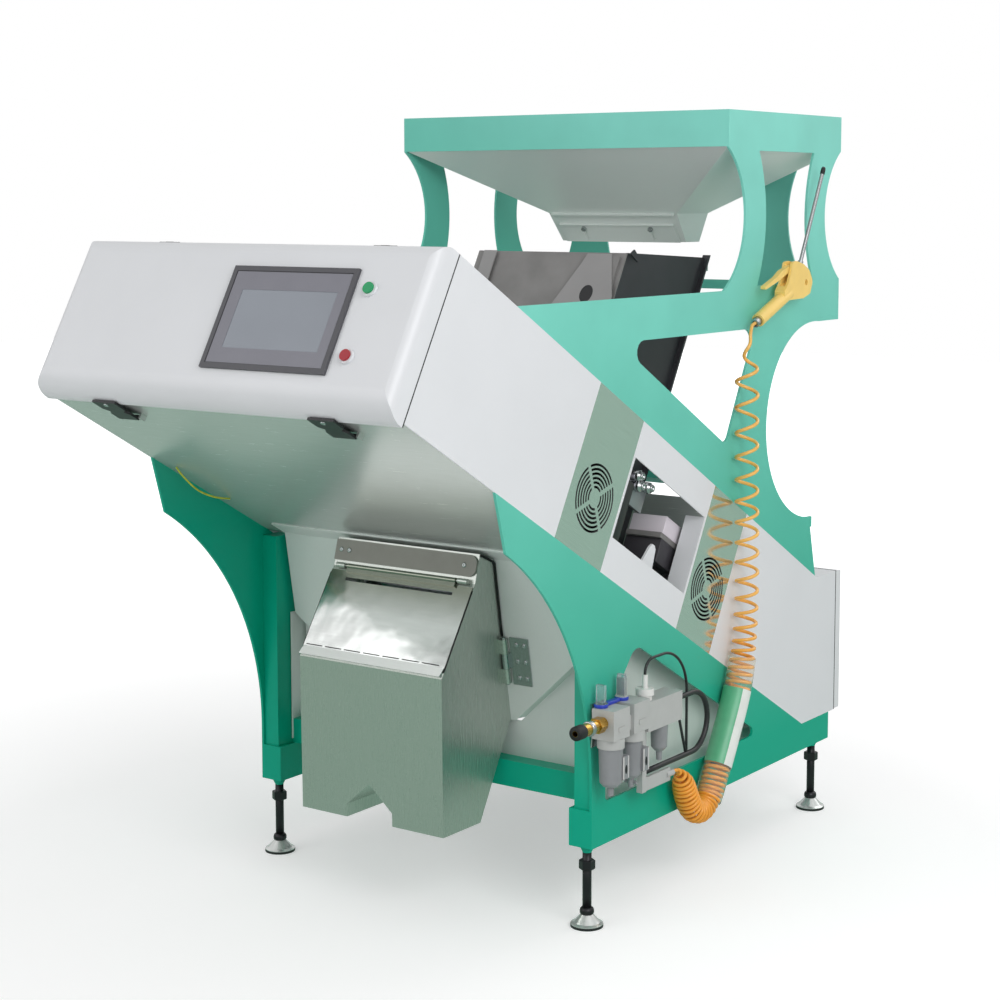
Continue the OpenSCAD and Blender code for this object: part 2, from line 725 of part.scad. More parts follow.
// Lever of two plates joined by a neck
module latch(sx) {
    w = latch_w / 2;
    translate([sx * hinge_x, 0, 0]) difference() {
        union() {
            translate([0, 0, latch_t - latch_h]) linear_extrude(latch_h) both() polygon([[0, latch_s[0]], [w[0], latch_s[0]],
                [w[0], latch_s[1]], [w[1], latch_s[2]], [w[2], latch_s[3]], [w[2], latch_pin[0] - latch_d / 2 - skin],
                [0, latch_pin[0] - latch_d / 2 - skin]]);
            on_latch_pin() rod_x(-w[2], w[2], latch_barrel);
        }
        on_latch_pin() rod_x(-latch_w[0], latch_w[0], latch_d + 2 * run);
    }
}
module latch_left() { color("#2a2a2c") place() on_tilt() latch(-1); }
module latch_right() { color("#2a2a2c") place() on_tilt() latch(1); }

// Solid through rings of four corners, listed from the top down
module loft(rings) {
    n = len(rings);
    last = 4 * n - 4;
    polyhedron(points = [for (r = rings) each r], faces = concat([[0, 2, 1], [0, 3, 2]],
        [for (k = [0 : n - 2], i = [0 : 3]) let (a = 4 * k + i, b = 4 * k + (i + 1) % 4)
            each [[a, b, a + 4], [b, b + 4, a + 4]]],
        [[last, last + 1, last + 2], [last, last + 2, last + 3]]));
}
function ring(w, y0, y1, z) = [[-w, y0, z], [w, y0, z], [w, y1, z], [-w, y1, z]];

// Hopper funnel with its throat
collar_h = 36;
throat_top = [767, 912];
throat_top_z = 1456;
throat_y = [820, 882];
throat_taper = 6;
funnel_y = [top_front + plate_t, top_rear - plate_t];
module funnel_form(d, e) {
    loft([ring(in_x - d, funnel_y[0] + d, funnel_y[1] - d, band_low + collar_h + e), ring(in_x - d, funnel_y[0] + d, funnel_y[1] - d, band_low),
        ring(throat_w / 2 - d, throat_top[0] + d, throat_top[1] - d, throat_top_z), ring(throat_w / 2 - throat_taper - d, throat_y[0] + d, throat_y[1] - d, throat_z - e)]);
}
module hopper_funnel() {
    color(steel) place() {
        difference() {
            funnel_form(0, 0);
            funnel_form(sheet, skin);
        }
        on_throat() span([-throat_w / 2 + ledge, -ledge, throat_l - 2], [throat_w / 2 - ledge, skin, throat_l + 1]);
    }
}

// Adjusting gate on the front face of the throat, u up along that face
gate_tilt = atan((throat_y[0] - throat_top[0]) / (throat_top_z - throat_z));
throat_l = norm([throat_y[0] - throat_top[0], throat_top_z - throat_z]);
ledge = 8;
gate_w = throat_w - 40;
gate_t = 2;
gate_lip = 6;
gate_gap = 0.5;
screw_x = 95;
screw_u = 42;
screw_d = 6;
head_d = 13;
module on_throat() { translate([0, throat_y[0], throat_z]) rotate([gate_tilt, 0, 0]) children(); }
module hopper_gate() {
    color(steel) place() on_throat() difference() {
        union() {
            span([-gate_w / 2, -gate_gap - gate_t, 0], [gate_w / 2, -gate_gap, gate_l]);
            span([-gate_w / 2, -gate_gap - gate_lip, gate_l - gate_t], [gate_w / 2, -gate_gap, gate_l]);
        }
        both() span([screw_x - screw_d / 2 - fit, -2 * ledge, screw_u - gate_travel - screw_d],
            [screw_x + screw_d / 2 + fit, skin, screw_u + screw_d / 2 + 2]);
    }
}
module gate_screws() {
    color("#b8babc") place() on_throat() both() translate([screw_x, 0, screw_u]) rotate([90, 0, 0]) {
        cylinder(h = gate_gap + gate_t + gate_gap, d = screw_d);
        translate([0, 0, 2 * gate_gap + gate_t]) cylinder(h = screw_d, d = head_d, $fn = 6);
    }
}

// Chute: black side plates, steel slide, front cover and the vibrating feeder
chute_top = [1445, 1600];
chute_end = body_low + 72;
rear_flange = [60, 12];
slide_s = chute_s[0] + 22;
slide_t = 7;
slide_top = 1393;
slide_low = view_t[1] + 6;
grooves = 12;
groove_r = 14;
groove_d = 3;
module chute_side() {
    x = chute_w / 2 - chute_t;
    across(x, chute_t) polygon([[chute_s[0], chute_end], [chute_s[0], chute_top[0]], [chute_s[1], chute_top[1]], [chute_s[1], chute_end]]);
    across(x, chute_t + rear_flange[1]) polygon([[chute_s[1] - chute_t, body_high + 4], [chute_s[1] - chute_t, chute_top[1] + 4],
        [chute_s[1], chute_top[1] + 7], [chute_s[1], body_high + 4]]);
}
module chute_sides() { color(dark) place() on_tilt() both() chute_side(); }
module chute_slide() {
    w = chute_w / 2 - chute_t;
    color(steel) place() on_tilt() difference() {
        span([-w, slide_s, slide_low], [w, slide_s + slide_t, slide_top]);
        for (i = [0 : grooves - 1]) translate([(i + 0.5 - grooves / 2) * 2 * w / grooves, slide_s - groove_r + groove_d, chute_end])
            cylinder(h = slide_top, r = groove_r);
    }
}
front_low = 1130;
lug = [150, 210, 52];
module chute_front_cover() {
    w = chute_w / 2;
    color(grey) place() on_tilt() {
        span([-w, chute_s[0] - sheet, front_low], [w, chute_s[0], chute_top[0] - 2]);
        translate([0, chute_s[0] - sheet, 0]) rotate([90, 0, 0]) linear_extrude(2 * sheet) difference() {
            polygon([[w - 12, chute_top[0] - 14], [w - 12 - 60, chute_top[0] - 14], [w - 12 - lug[0], chute_top[0] - lug[1]], [w - 12, chute_top[0] - lug[1]]]);
            translate([w - 12 - lug[2], chute_top[0] - 120]) circle(16);
        }
    }
}
tray_z = 1318;
tray_h = 27;
tray_y = [514, 892];
tray_w = chute_w - 2 * chute_t - 10;
module feeder_tray() {
    color(steel) place() difference() {
        span([-tray_w / 2, tray_y[0], tray_z], [tray_w / 2, tray_y[1], tray_z + tray_h]);
        span([-tray_w / 2 + sheet, tray_y[0] - skin, tray_z + sheet], [tray_w / 2 - sheet, tray_y[1] - sheet, tray_z + tray_h + skin]);
    }
}
magnet = [150, 120, 60];
spring_t = 4;
spring_y = [600, 800];
shelf_z = 1208;
module feeder_vibrator() {
    color(dark) place() {
        w = chute_w / 2 - chute_t;
        span([-w, spring_y[0] - 60, shelf_z - 12], [w, spring_y[1] - 40, shelf_z]);
        span([-magnet[0] / 2, spring_y[0] + 20, shelf_z], [magnet[0] / 2, spring_y[0] + 20 + magnet[1], shelf_z + magnet[2]]);
        for (y = spring_y) across(-w + 30, 2 * w - 60) polygon([[y - 50, shelf_z - 1], [y - 50 + spring_t, shelf_z - 1], [y + spring_t, tray_z], [y, tray_z]]);
    }
}

// Front wall of the collecting hopper, leaning back on its way down
wall_y = 22;
wall_z = 745;
wall_tilt = 9.67;
wall_h = 363;
wall_fold = 192;
wall_gap = 2;
wall_x = in_x - foot_box_w - 2;
flange_l = 56;
mouth_x = outlet_w / 2 - 16;
wall_foot = outlet_w / 2 + 12;
module on_wall() { translate([0, wall_y, wall_z]) rotate([wall_tilt, 0, 0]) children(); }
function wall_at(z) = wall_y + (wall_z - z) * tan(wall_tilt);
duct_low = [130, 384];
module duct_form(d, e) {
    top = yz(wall2_s, body_low - 5);
    fold_z = wall_z - wall_fold * cos(wall_tilt);
    foot_z = wall_z - wall_h * cos(wall_tilt) + e;
    loft([[[-wall_x + 8 + d, wall_at(fold_z) + sheet + d, fold_z + e], [wall_x - 8 - d, wall_at(fold_z) + sheet + d, fold_z + e],
        [wall_x - 8 - d, top[0] - d, top[1] + e], [-wall_x + 8 + d, top[0] - d, top[1] + e]],
        [[-wall_foot + 8 + d, wall_at(foot_z) + sheet + d, foot_z - 2 * e], [wall_foot - 8 - d, wall_at(foot_z) + sheet + d, foot_z - 2 * e],
        [wall_foot - 8 - d, duct_low[0] - d, duct_low[1] - 2 * e], [-wall_foot + 8 + d, duct_low[0] - d, duct_low[1] - 2 * e]]]);
}
module collecting_hopper() {
    color(steel) place() {
        difference() {
            union() {
                on_wall() translate([0, sheet, 0]) rotate([90, 0, 0]) linear_extrude(sheet) polygon([[-wall_x, -wall_gap], [wall_x, -wall_gap],
                    [wall_x, -wall_fold], [wall_foot, -wall_h], [-wall_foot, -wall_h], [-wall_x, -wall_fold]]);
                difference() {
                    duct_form(0, 0);
                    duct_form(sheet, skin);
                }
                on_tilt() span([-wall_x, bay_s - flange_l, body_low - sheet], [wall_x, bay_s, body_low]);
            }
            on_wall() span([-mouth_x, -skin, -wall_h + 12], [mouth_x, 40, -70]);
        }
    }
}
wing_y = cross_y[1];
wing_x = in_x - foot_box_w;
wing_z = [cross_z[0] + 4, 386, 558];
wing_rear = [wing_y + 200, rear_cross_y[0] - 100];
module base_enclosure() {
    x = wall_foot + 8;
    t = body_low - 8;
    color(steel) place() {
        translate([0, wing_y + sheet, 0]) rotate([90, 0, 0]) linear_extrude(sheet) polygon([[-wing_x, wing_z[0]],
            [wing_x, wing_z[0]], [wing_x, wing_z[2]], [x, wing_z[1]], [-x, wing_z[1]], [-wing_x, wing_z[2]]]);
        both() across(wing_x - sheet, sheet) polygon([[wing_y, wing_z[0]], [wing_y, wing_z[2]],
            [wing_rear[0], z_at(t, wing_rear[0])], [wing_rear[1], z_at(t, wing_rear[1])], [wing_rear[1], wing_z[0]]]);
    }
}

// Outlet box with two spouts, swinging on a hinge at its right rear edge
box_t = 2;
lid_top = [-45, 700];
lid_low = [-160, 522];
box_top = [-28, 760];
box_rear_z = 738;
box_bend_z = 390;
spout_y = [-156, -28];
swing_z = [-274, -176];
swing_l = 32;
swing_x = outlet_w / 2 + 9;
swing_d = 16;
swing_leaf = [10, 58, 3];
lid_edge = 14;
lid_pin = 7;
lid_pin_d = 5;
lid_barrel = 11;
lid_t = 2.5;
lid_lip = [9, 24];
lid_slot = [144, -32, -24];
notch_x = [-68, 58];
notch_z = [30, 83];
strip_z = [14, 58];
strip_t = 4;
strip_r = 18;
strip_side = 1;
function rear_edge(z) = wall_at(z) - fit;
lid_angle = atan2(lid_top[1] - lid_low[1], lid_top[0] - lid_low[0]);
strip_angle = atan2(box_top[1] - lid_top[1], box_top[0] - lid_top[0]);
lid_l = norm(lid_top - lid_low);
box_slope = (box_top[1] - box_rear_z) / (rear_edge(box_rear_z) - box_top[0]);
module outlet_side() {
    polygon([box_top, [rear_edge(box_rear_z), box_rear_z], [rear_edge(box_bend_z), box_bend_z],
        [spout_y[1], outlet_z], [spout_y[0], outlet_z], lid_low, lid_top]);
}
// Space inside the box, open to the rear and below
module outlet_space() {
    y = rear_edge(box_bend_z);
    past = rear_edge(box_rear_z) + outlet_w / 4;
    top = box_top[1] - 1.5 * box_t;
    polygon([[box_top[0] + box_t, top], [past, top - box_slope * (past - box_top[0] - box_t)], [y + lid_edge, box_bend_z + 6],
        [y - 2 * box_t, box_bend_z], [spout_y[1] - box_t, outlet_z - skin], [spout_y[0] + box_t, outlet_z - skin],
        lid_low + [box_t, 0], lid_top + [box_t, 0]]);
}
module notch(d) {
    depth = 2 * outlet_w;
    translate([0, depth / 2, 0]) rotate([90, 0, 0]) linear_extrude(depth)
        polygon([[notch_x[0] + d, outlet_z - skin], [notch_x[0] + d, outlet_z + notch_z[0] - d],
            [(notch_x[0] + notch_x[1]) / 2, outlet_z + notch_z[1] - d],
            [notch_x[1] - d, outlet_z + notch_z[0] - d], [notch_x[1] - d, outlet_z - skin]]);
}
// Along and off a face that rises from the top edge of the lid
module on_slope(angle) { translate([0, lid_top[0], lid_top[1]]) rotate([angle - 90, 0, 0]) children(); }
module on_lid() { on_slope(lid_angle) children(); }
module on_lid_pin() { on_lid() translate([0, -lid_pin, 0]) children(); }
module on_swing() { on_wall() translate([swing_x, -swing_d / 2, 0]) children(); }
module outlet_box() {
    w = outlet_w / 2;
    ear = 12;
    ear_x = w - lid_edge - ear;
    color(steel) place() difference() {
        union() {
            difference() {
                across(-w, outlet_w) outlet_side();
                across(-w + box_t, outlet_w - 2 * box_t) outlet_space();
            }
            intersection() {
                across(-w, outlet_w) outlet_side();
                difference() {
                    notch(0);
                    notch(box_t);
                }
            }
            on_slope(strip_angle) translate([0, box_t / 2, 0]) rotate([90, 0, 0]) linear_extrude(strip_t + box_t / 2)
                mirror([1, 0])
                soft_side([-w + strip_side, strip_z[0]], [w - strip_side, strip_z[1]], [strip_r, strip_r]);
            for (z = [swing_z[0], swing_z[1] - swing_l]) {
                on_swing() translate([0, 0, z]) cylinder(h = swing_l, d = swing_d);
                on_wall() span([w - box_t, -swing_d, z], [swing_x, -swing_d + sheet, z + swing_l]);
            }
            on_lid_pin() {
                rod_x(-ear_x, ear_x, lid_pin_d);
                for (sx = [-1, 1]) translate([sx * ear_x, 0, 0]) {
                    rod_x(-ear, ear, ear);
                    span([-ear, 0, 0], [ear, lid_pin + box_t, ear / 2]);
                }
            }
        }
        on_swing() translate([0, 0, swing_z[0] - skin])
            cylinder(h = swing_z[1] - swing_z[0] + 2 * skin, d = pin_d + 2 * run);
        notch(box_t);
        on_lid() span([-w + lid_edge, -skin, -lid_l + 20], [w - lid_edge, 30, -20]);
    }
}
module outlet_lid() {
    w = outlet_w / 2;
    x = w - 44;
    color(steel) place() difference() {
        union() {
            on_lid() {
                span([-w + skin, -fit - lid_t, -lid_l + 2], [w - skin, -fit, -9]);
                across(-w + skin, outlet_w - 2 * skin) polygon([[-fit, -lid_l + 2], [-fit, -lid_l + lid_lip[1]],
                    [-fit - lid_t, -lid_l + lid_lip[1]], [-fit - lid_lip[0], -lid_l + 2]]);
                span([-x, -lid_pin - 2, -14], [x, -fit - skin, -skin]);
            }
            on_lid_pin() rod_x(-x, x, lid_barrel);
        }
        on_lid_pin() rod_x(-w, w, lid_pin_d + 2 * run);
        on_lid() span([-lid_slot[0], -lid_barrel, lid_slot[1]], [lid_slot[0], skin, lid_slot[2]]);
    }
}
module outlet_hinge() {
    z = [swing_z[0] + swing_l + fit, swing_z[1] - swing_l - fit];
    color("#a4a6a8") place() {
        on_swing() {
            translate([0, 0, swing_z[0] - 4]) cylinder(h = swing_z[1] - swing_z[0] + 8, d = pin_d);
            translate([0, 0, z[0]]) cylinder(h = z[1] - z[0], d = swing_d);
        }
        on_wall() translate([swing_x, 0, 0]) {
            span([0, -swing_d / 2, z[0]], [swing_d / 2, 0, z[1]]);
            span([0, -swing_leaf[2], z[0]], [swing_leaf[0], 0, z[1]]);
            span([swing_leaf[0], -swing_leaf[2], swing_z[0] - 4], [swing_leaf[1], 0, swing_z[1] + 4]);
        }
    }
}

// Air unit on the right hand leg: bracket, two filters and a valve block, bowls, knob, gauge, inlet and tubes
air_x = half_w + 40;
air_z = 433;
stand = 14;
filter = [52, 60];
filter_y = [8, 85];
head_z = [air_z - 21, air_z + 41];
head_ring = [56, 20];
clip = [12, 5, 2];
neck = [18, 12];
valve_y = [115, 250];
valve_z = [402, 464];
valve_w = 46;
riser_y = [118, 134];
plate_z = [270, 298];
supply_z = 284;
supply_d = 14;
module frl_bracket() {
    color("#c9cbcd") place() {
        span([half_w, -6, air_z - 45], [half_w + 4, 46, air_z + 45]);
        span([half_w + 4, -2, air_z - 15], [half_w + stand, 34, air_z + 30]);
    }
}
module frl_body() {
    x = half_w + stand;
    color("#c4c6c8") place() {
        for (y = filter_y) {
            span([x, y - filter[1] / 2, head_z[0]], [x + filter[0], y + filter[1] / 2, head_z[1]]);
            translate([air_x, y, head_z[0] - head_ring[1]]) cylinder(h = head_ring[1], d = head_ring[0]);
            span([x + filter[0] - skin, y - clip[0], air_z - clip[1]], [x + filter[0] + clip[2], y + clip[0], air_z + clip[1]]);
        }
        span([air_x - neck[0], filter_y[0], air_z - neck[1]], [air_x + neck[0], filter_y[1], air_z + neck[0]]);
        span([air_x - valve_w / 2, valve_y[0], valve_z[0]], [air_x + valve_w / 2, valve_y[1], valve_z[1]]);
        span([air_x - supply_d / 2, riser_y[0], plate_z[0]], [air_x + supply_d / 2, riser_y[1], valve_z[0]]);
        span([air_x - supply_d / 4, riser_y[0], plate_z[0]], [air_x + supply_d / 4, hose_end - supply_d, plate_z[1]]);
        translate([air_x, hose_end - 2 * supply_d, supply_z]) rotate([-90, 0, 0]) cylinder(h = 2 * supply_d, d = supply_d);
        translate([tab_at[0], tab_at[1] + filter_y[1] - filter_y[0], head_z[1]]) tab();
    }
}
// Bowl of diameter d and length l, with the drain below it
bowl_d = [50, 44, 38];
bowl_l = [80, 80, 58];
bowl_y = 195;
drain = [14, 20];
sight = [[8, 8, -66], [26, 27, -18]];
sight_d = 9;
module bowl(d, l) {
    rotate_extrude() polygon([[0, 0], [d / 2, 0], [d / 2 - 2, -l + 8], [d / 2 - 9, -l], [drain[0] / 2, -l - 2],
        [drain[0] / 2 - 1, -l - drain[1]], [0, -l - drain[1]]]);
}
module filter_bowl(i) {
    difference() {
        union() {
            bowl(bowl_d[i], bowl_l[i]);
            span(sight[0], sight[1]);
        }
        translate([sight[1][0] - 4, (sight[0][1] + sight[1][1]) / 2, sight[0][2] + 2 * sight_d]) rod_x(0, sight_d, sight_d);
    }
}
module frl_bowls() {
    color("#8c8e92") place() {
        for (i = [0, 1]) translate([air_x, filter_y[i], head_z[0] - head_ring[1]]) filter_bowl(i);
        translate([air_x, filter_y[1], head_z[0] - head_ring[1] - bowl_l[1] - drain[1] / 2]) rod_x(-drain[0], drain[0], 7);
        translate([air_x, bowl_y, valve_z[0]]) bowl(bowl_d[2], bowl_l[2]);
    }
}
// Flat finger tab on a round base
tab_at = [474, -4];
tab_size = [20, 8, 46];
tab_base = [28, 8];
module tab() {
    cylinder(h = tab_base[1], d = tab_base[0]);
    translate([-tab_size[0] / 2, -tab_size[1] / 2, 0]) cube(tab_size);
}
module frl_knob() { color("#dfe3ea") place() translate([tab_at[0], tab_at[1], head_z[1]]) tab(); }
gauge_y = 137;
gauge = [[30, 10], [38, 14], [12, 28]];
gauge_top = valve_z[1] + gauge[0][1] + gauge[1][1] + gauge[2][1];
module frl_gauge() {
    color("#e4e4e2") place() translate([air_x, gauge_y, valve_z[1]]) {
        cylinder(h = gauge[0][1], d = gauge[0][0]);
        translate([0, 0, gauge[0][1]]) cylinder(h = gauge[1][1], d = gauge[1][0]);
        translate([0, 0, gauge[0][1]]) cylinder(h = gauge[1][1] + gauge[2][1], d = gauge[2][0]);
    }
}
inlet_l = 100;
inlet_hex = 34;
module frl_inlet() {
    color("#c9a45c") place() translate([air_x, filter_y[0] - filter[1] / 2, air_z + 14]) rotate([90, 0, 0]) difference() {
        union() {
            cylinder(h = inlet_l, d = inlet_d);
            translate([0, 0, 6]) cylinder(h = 22, d = inlet_hex, $fn = 6);
        }
        translate([0, 0, 20]) cylinder(h = inlet_l, d = inlet_bore);
    }
}
// Tubes bent in one upright plane, the thin ones ending on the thick one
thick_d = 12;
thin_d = 6;
thick_r = 65;
thick_y = 330;
thick_low = 310;
thin_r = [30, 98];
thin_y = [gauge_y + thin_r[0], 209];
module arc(r, d, a) { rotate([90, 0, 90]) rotate_extrude(angle = a) translate([r, 0]) circle(d = d); }
module rod_y(y0, y1, z, d) { translate([air_x, y0, z]) rotate([-90, 0, 0]) cylinder(h = y1 - y0, d = d); }
module frl_tubes() {
    top_z = thick_low + 2 * thick_r;
    fall = [thin_y[1] + thin_r[1] - 45, top_z - 4];
    slant = [43, thick_low - fall[1]];
    color("#1e1e20") place() {
        rod_y(valve_y[1], thick_y, top_z, thick_d);
        translate([air_x, thick_y, thick_low + thick_r]) rotate([-90, 0, 0]) arc(thick_r, thick_d, 180);
        rod_y(riser_y[1], thick_y, thick_low, thick_d);
        translate([air_x, thin_y[0], gauge_top]) rotate([90, 0, 0]) arc(thin_r[0], thin_d, 90);
        rod_y(thin_y[0], thin_y[1], gauge_top + thin_r[0], thin_d);
        translate([air_x, thin_y[1], gauge_top + thin_r[0] - thin_r[1]]) arc(thin_r[1], thin_d, 90);
        translate([air_x, thin_y[1] + thin_r[1], thick_low])
            cylinder(h = gauge_top + thin_r[0] - thin_r[1] - thick_low, d = thin_d);
        translate([air_x, fall[0], fall[1]]) rotate([-90 - atan2(slant[1], slant[0]), 0, 0]) cylinder(h = norm(slant), d = thin_d);
    }
}

// Air gun on a peg of the right hand frame
gun_x = half_w + 30;
gun_w = 26;
gun_end = [622, 1222];
gun_tilt = 22;
grip_d = 30;
grip_l = 150;
gun_collar = [20, 16];
gun_head = [[722, 1262, 4], [722, 1283, 6], [738, 1300, 8], [752, 1330, 8], [758, 1348, 8], [778, 1350, 8], [812, 1342, 8],
    [840, 1328, 12], [858, 1302, 16], [846, 1274, 12], [812, 1264, 8]];
gun_slot = [[735, 1290], [786, 1318], [786, 1360], [700, 1360]];
hang_hole = [826, 1300, 14];
peg_at = [790, 1279];
peg_d = 10;
trigger_pin = [767, 1335];
trigger_w = 14;
trigger_barrel = 13;
trigger_form = [[763, 1341, 0], [721, 1329, 6], [696, 1315, 8], [641, 1296, 3], [644, 1289, 3], [700, 1305, 10], [735, 1318, 8],
    [763, 1328, 0]];
gun_pin_d = 5;
nozzle_at = [812, 1330];
nozzle_d = 13;
nozzle_l = 270;
nozzle_tilt = 26.9;
nozzle_seat = 10;
nozzle_bore = 5;
module gun_peg() { translate([half_w, peg_at[0], peg_at[1]]) rod_x(0, gun_x - gun_w / 2 - half_w, peg_d); }
module on_trigger_pin() { translate([gun_x, trigger_pin[0], trigger_pin[1]]) children(); }
module air_gun() {
    color("#f0c23c") place() {
        difference() {
            union() {
                translate([gun_x, gun_end[0], gun_end[1]]) rotate([gun_tilt - 90, 0, 0]) {
                    cylinder(h = grip_l, d = grip_d);
                    translate([0, 0, -gun_collar[1]]) cylinder(h = gun_collar[1] + skin, d = gun_collar[0]);
                }
                across(gun_x - gun_w / 2, gun_w) polygon(rounded(gun_head));
            }
            across(gun_x - trigger_w / 2 - fit, trigger_w + 2 * fit) polygon(gun_slot);
            on_nozzle() translate([0, 0, -nozzle_seat]) cylinder(h = 6 * nozzle_seat, d = nozzle_d + 2 * run);
            translate([gun_x, hang_hole[0], hang_hole[1]]) rod_x(-gun_w, gun_w, hang_hole[2]);
        }
        on_trigger_pin() rod_x(-gun_w / 2, gun_w / 2, gun_pin_d);
    }
}
module on_nozzle() { translate([gun_x, nozzle_at[0], nozzle_at[1]]) rotate([-nozzle_tilt, 0, 0]) children(); }
module air_gun_nozzle() {
    color("#b9bcc0") place() on_nozzle() difference() {
        union() {
            translate([0, 0, -nozzle_seat]) cylinder(h = nozzle_l, d = nozzle_d - 4);
            translate([0, 0, -nozzle_seat]) cylinder(h = 3 * nozzle_seat, d = nozzle_d);
        }
        translate([0, 0, nozzle_seat]) cylinder(h = nozzle_l, d = nozzle_bore);
    }
}
module air_gun_trigger() {
    color("#e0b030") place() difference() {
        union() {
            on_trigger_pin() rod_x(-trigger_w / 2, trigger_w / 2, trigger_barrel);
            across(gun_x - trigger_w / 2 + skin, trigger_w - 2 * skin) polygon(rounded(trigger_form));
        }
        on_trigger_pin() rod_x(-gun_w, gun_w, gun_pin_d + 2 * run);
    }
}

// Coiled hose as one tube of its outer diameter, from the gun to the air unit: x, y, z and radius
hose_x = 484;
hose_end = 250;
hose_thin = 4.5;
hose_start = gun_end - gun_collar[1] * [cos(gun_tilt), sin(gun_tilt)];
hose_route = [[gun_x, hose_start[0], hose_start[1], hose_thin], [gun_x, 594.4, 1210.85, hose_thin],
    [hose_x, 579, 1190, hose_thin], [hose_x, 571, 1150, 9], [hose_x, 568, 1105, coil_d / 2], [hose_x, 568, 1000, coil_d / 2], [hose_x, 571, 880, coil_d / 2],
    [hose_x, 575, 760, coil_d / 2], [hose_x, 577, 650, coil_d / 2], [hose_x, 574, 560, coil_d / 2], [hose_x, 561, 470, coil_d / 2],
    [hose_x, 530, 385, coil_d / 2], [hose_x, 486, 305, coil_d / 2], [hose_x, 445, 235, coil_d / 2], [hose_x, 415, 188, coil_d / 2],
    [hose_x, 382, 168, coil_d / 2], [hose_x, 346, 178, coil_d / 2], [hose_x, 322, 210, coil_d / 2], [hose_x, 304, 248, 24],
    [hose_x + 3, 286, 274, 10], [air_x, 266, supply_z, hose_thin], [air_x, hose_end, supply_z, hose_thin]];
hose_sides = 10;
function hose_pt(i) = [for (k = [0 : 2]) hose_route[i][k]];
function hose_dir(i) = unit(hose_pt(min(i + 1, len(hose_route) - 1)) - hose_pt(max(i - 1, 0)));
function hose_ring(i) = let (d = hose_dir(i), u = unit(cross(d, [1, 0, 0])), v = cross(d, u))
    [for (k = [0 : hose_sides - 1]) hose_pt(i) + hose_route[i][3] * (cos(k * 360 / hose_sides) * u + sin(k * 360 / hose_sides) * v)];
module air_hose() {
    n = len(hose_route);
    m = hose_sides;
    color("#f2a13a") place() polyhedron(points = [for (i = [0 : n - 1]) each hose_ring(i)], faces = concat(
        [[for (k = [0 : m - 1]) k]],
        [for (i = [0 : n - 2], k = [0 : m - 1]) let (j = (k + 1) % m) each [[m * i + j, m * i + k, m * i + m + k], [m * i + m + j, m * i + j, m * i + m + k]]],
        [[for (k = [m - 1 : -1 : 0]) m * (n - 1) + k]]));
}

upper_frame_right();
upper_frame_left();
lower_frame_right();
lower_frame_left();
leg_posts();
cross_beams();
hopper_front_band();
hopper_rear_frame();
foot_stems();
foot_pads();
front_box_shell();
underside_sheet();
front_fan_panels();
rear_fan_panels();
bay_frames();
rear_box_shell();
fan_frames();
front_fan_rotor();
rear_fan_rotor();
optic_walls();
window_glasses();
lamp_bars();
cameras();
ejector_manifold();
solenoid_valves();
wiper_cylinder();
wiper();
front_cover();
screen_bezel();
screen_glass();
start_button();
stop_button();
cover_hinges();
latch_left();
latch_right();
rear_door();
hopper_funnel();
hopper_gate();
gate_screws();
feeder_tray();
feeder_vibrator();
chute_sides();
chute_slide();
chute_front_cover();
collecting_hopper();
base_enclosure();
outlet_box();
outlet_lid();
outlet_hinge();
frl_bracket();
frl_body();
frl_bowls();
frl_knob();
frl_gauge();
frl_inlet();
frl_tubes();
air_gun();
air_gun_nozzle();
air_gun_trigger();
air_hose();
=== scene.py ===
import math

import bpy
import numpy as np
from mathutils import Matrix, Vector


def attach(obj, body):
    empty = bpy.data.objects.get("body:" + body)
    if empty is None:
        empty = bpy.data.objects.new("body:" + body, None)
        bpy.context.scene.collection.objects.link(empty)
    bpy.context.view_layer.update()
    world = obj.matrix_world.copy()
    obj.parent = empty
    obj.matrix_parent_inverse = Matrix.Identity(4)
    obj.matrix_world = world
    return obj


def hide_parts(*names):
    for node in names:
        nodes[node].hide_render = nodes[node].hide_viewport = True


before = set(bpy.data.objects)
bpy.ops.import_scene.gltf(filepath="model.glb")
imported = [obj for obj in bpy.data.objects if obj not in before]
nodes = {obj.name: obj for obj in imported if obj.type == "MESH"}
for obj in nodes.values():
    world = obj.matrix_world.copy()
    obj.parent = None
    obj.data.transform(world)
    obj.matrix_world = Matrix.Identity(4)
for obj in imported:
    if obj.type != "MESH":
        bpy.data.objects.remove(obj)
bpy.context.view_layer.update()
scene = bpy.context.scene
print("sorter: frame loaded with", len(nodes), "nodes")

# the drawing's own millimetres: x from the middle, y from the front legs, z from the floor
machine = dict(middle=(28.75, 245.96, 0), tilt=math.radians(29.5), halfWide=450)


def place(points):
    # drawing millimetres to metres of the frame: (p - middle) / 1000
    return (np.asarray(points, float) - machine["middle"]) / 1000


def tilted(x, s, t):
    # s along and t across the tilted body, turned by its tilt into y and z, in drawing millimetres
    c, d = math.cos(machine["tilt"]), math.sin(machine["tilt"])
    x, s, t = np.broadcast_arrays(np.asarray(x, float), s, t)
    return np.stack([x, s * c + t * d, t * c - s * d], axis=-1)


def onTilt(grid):
    # a grid of x, s, t laid on the tilted body
    return tilted(grid[..., 0], grid[..., 1], grid[..., 2])


def sloped(origin, angle, x, out, up):
    # a spot on a sloped face: up along it and out from it, the angle measured from the level
    a = math.radians(angle)
    y = origin[0] + up * math.cos(a) - out * math.sin(a)
    return np.array([x, y, origin[1] + up * math.sin(a) + out * math.cos(a)])


def facing(angle):
    # outward direction of such a face: minus sine along y, cosine along z
    a = math.radians(angle)
    return np.array([0, -math.sin(a), math.cos(a)])


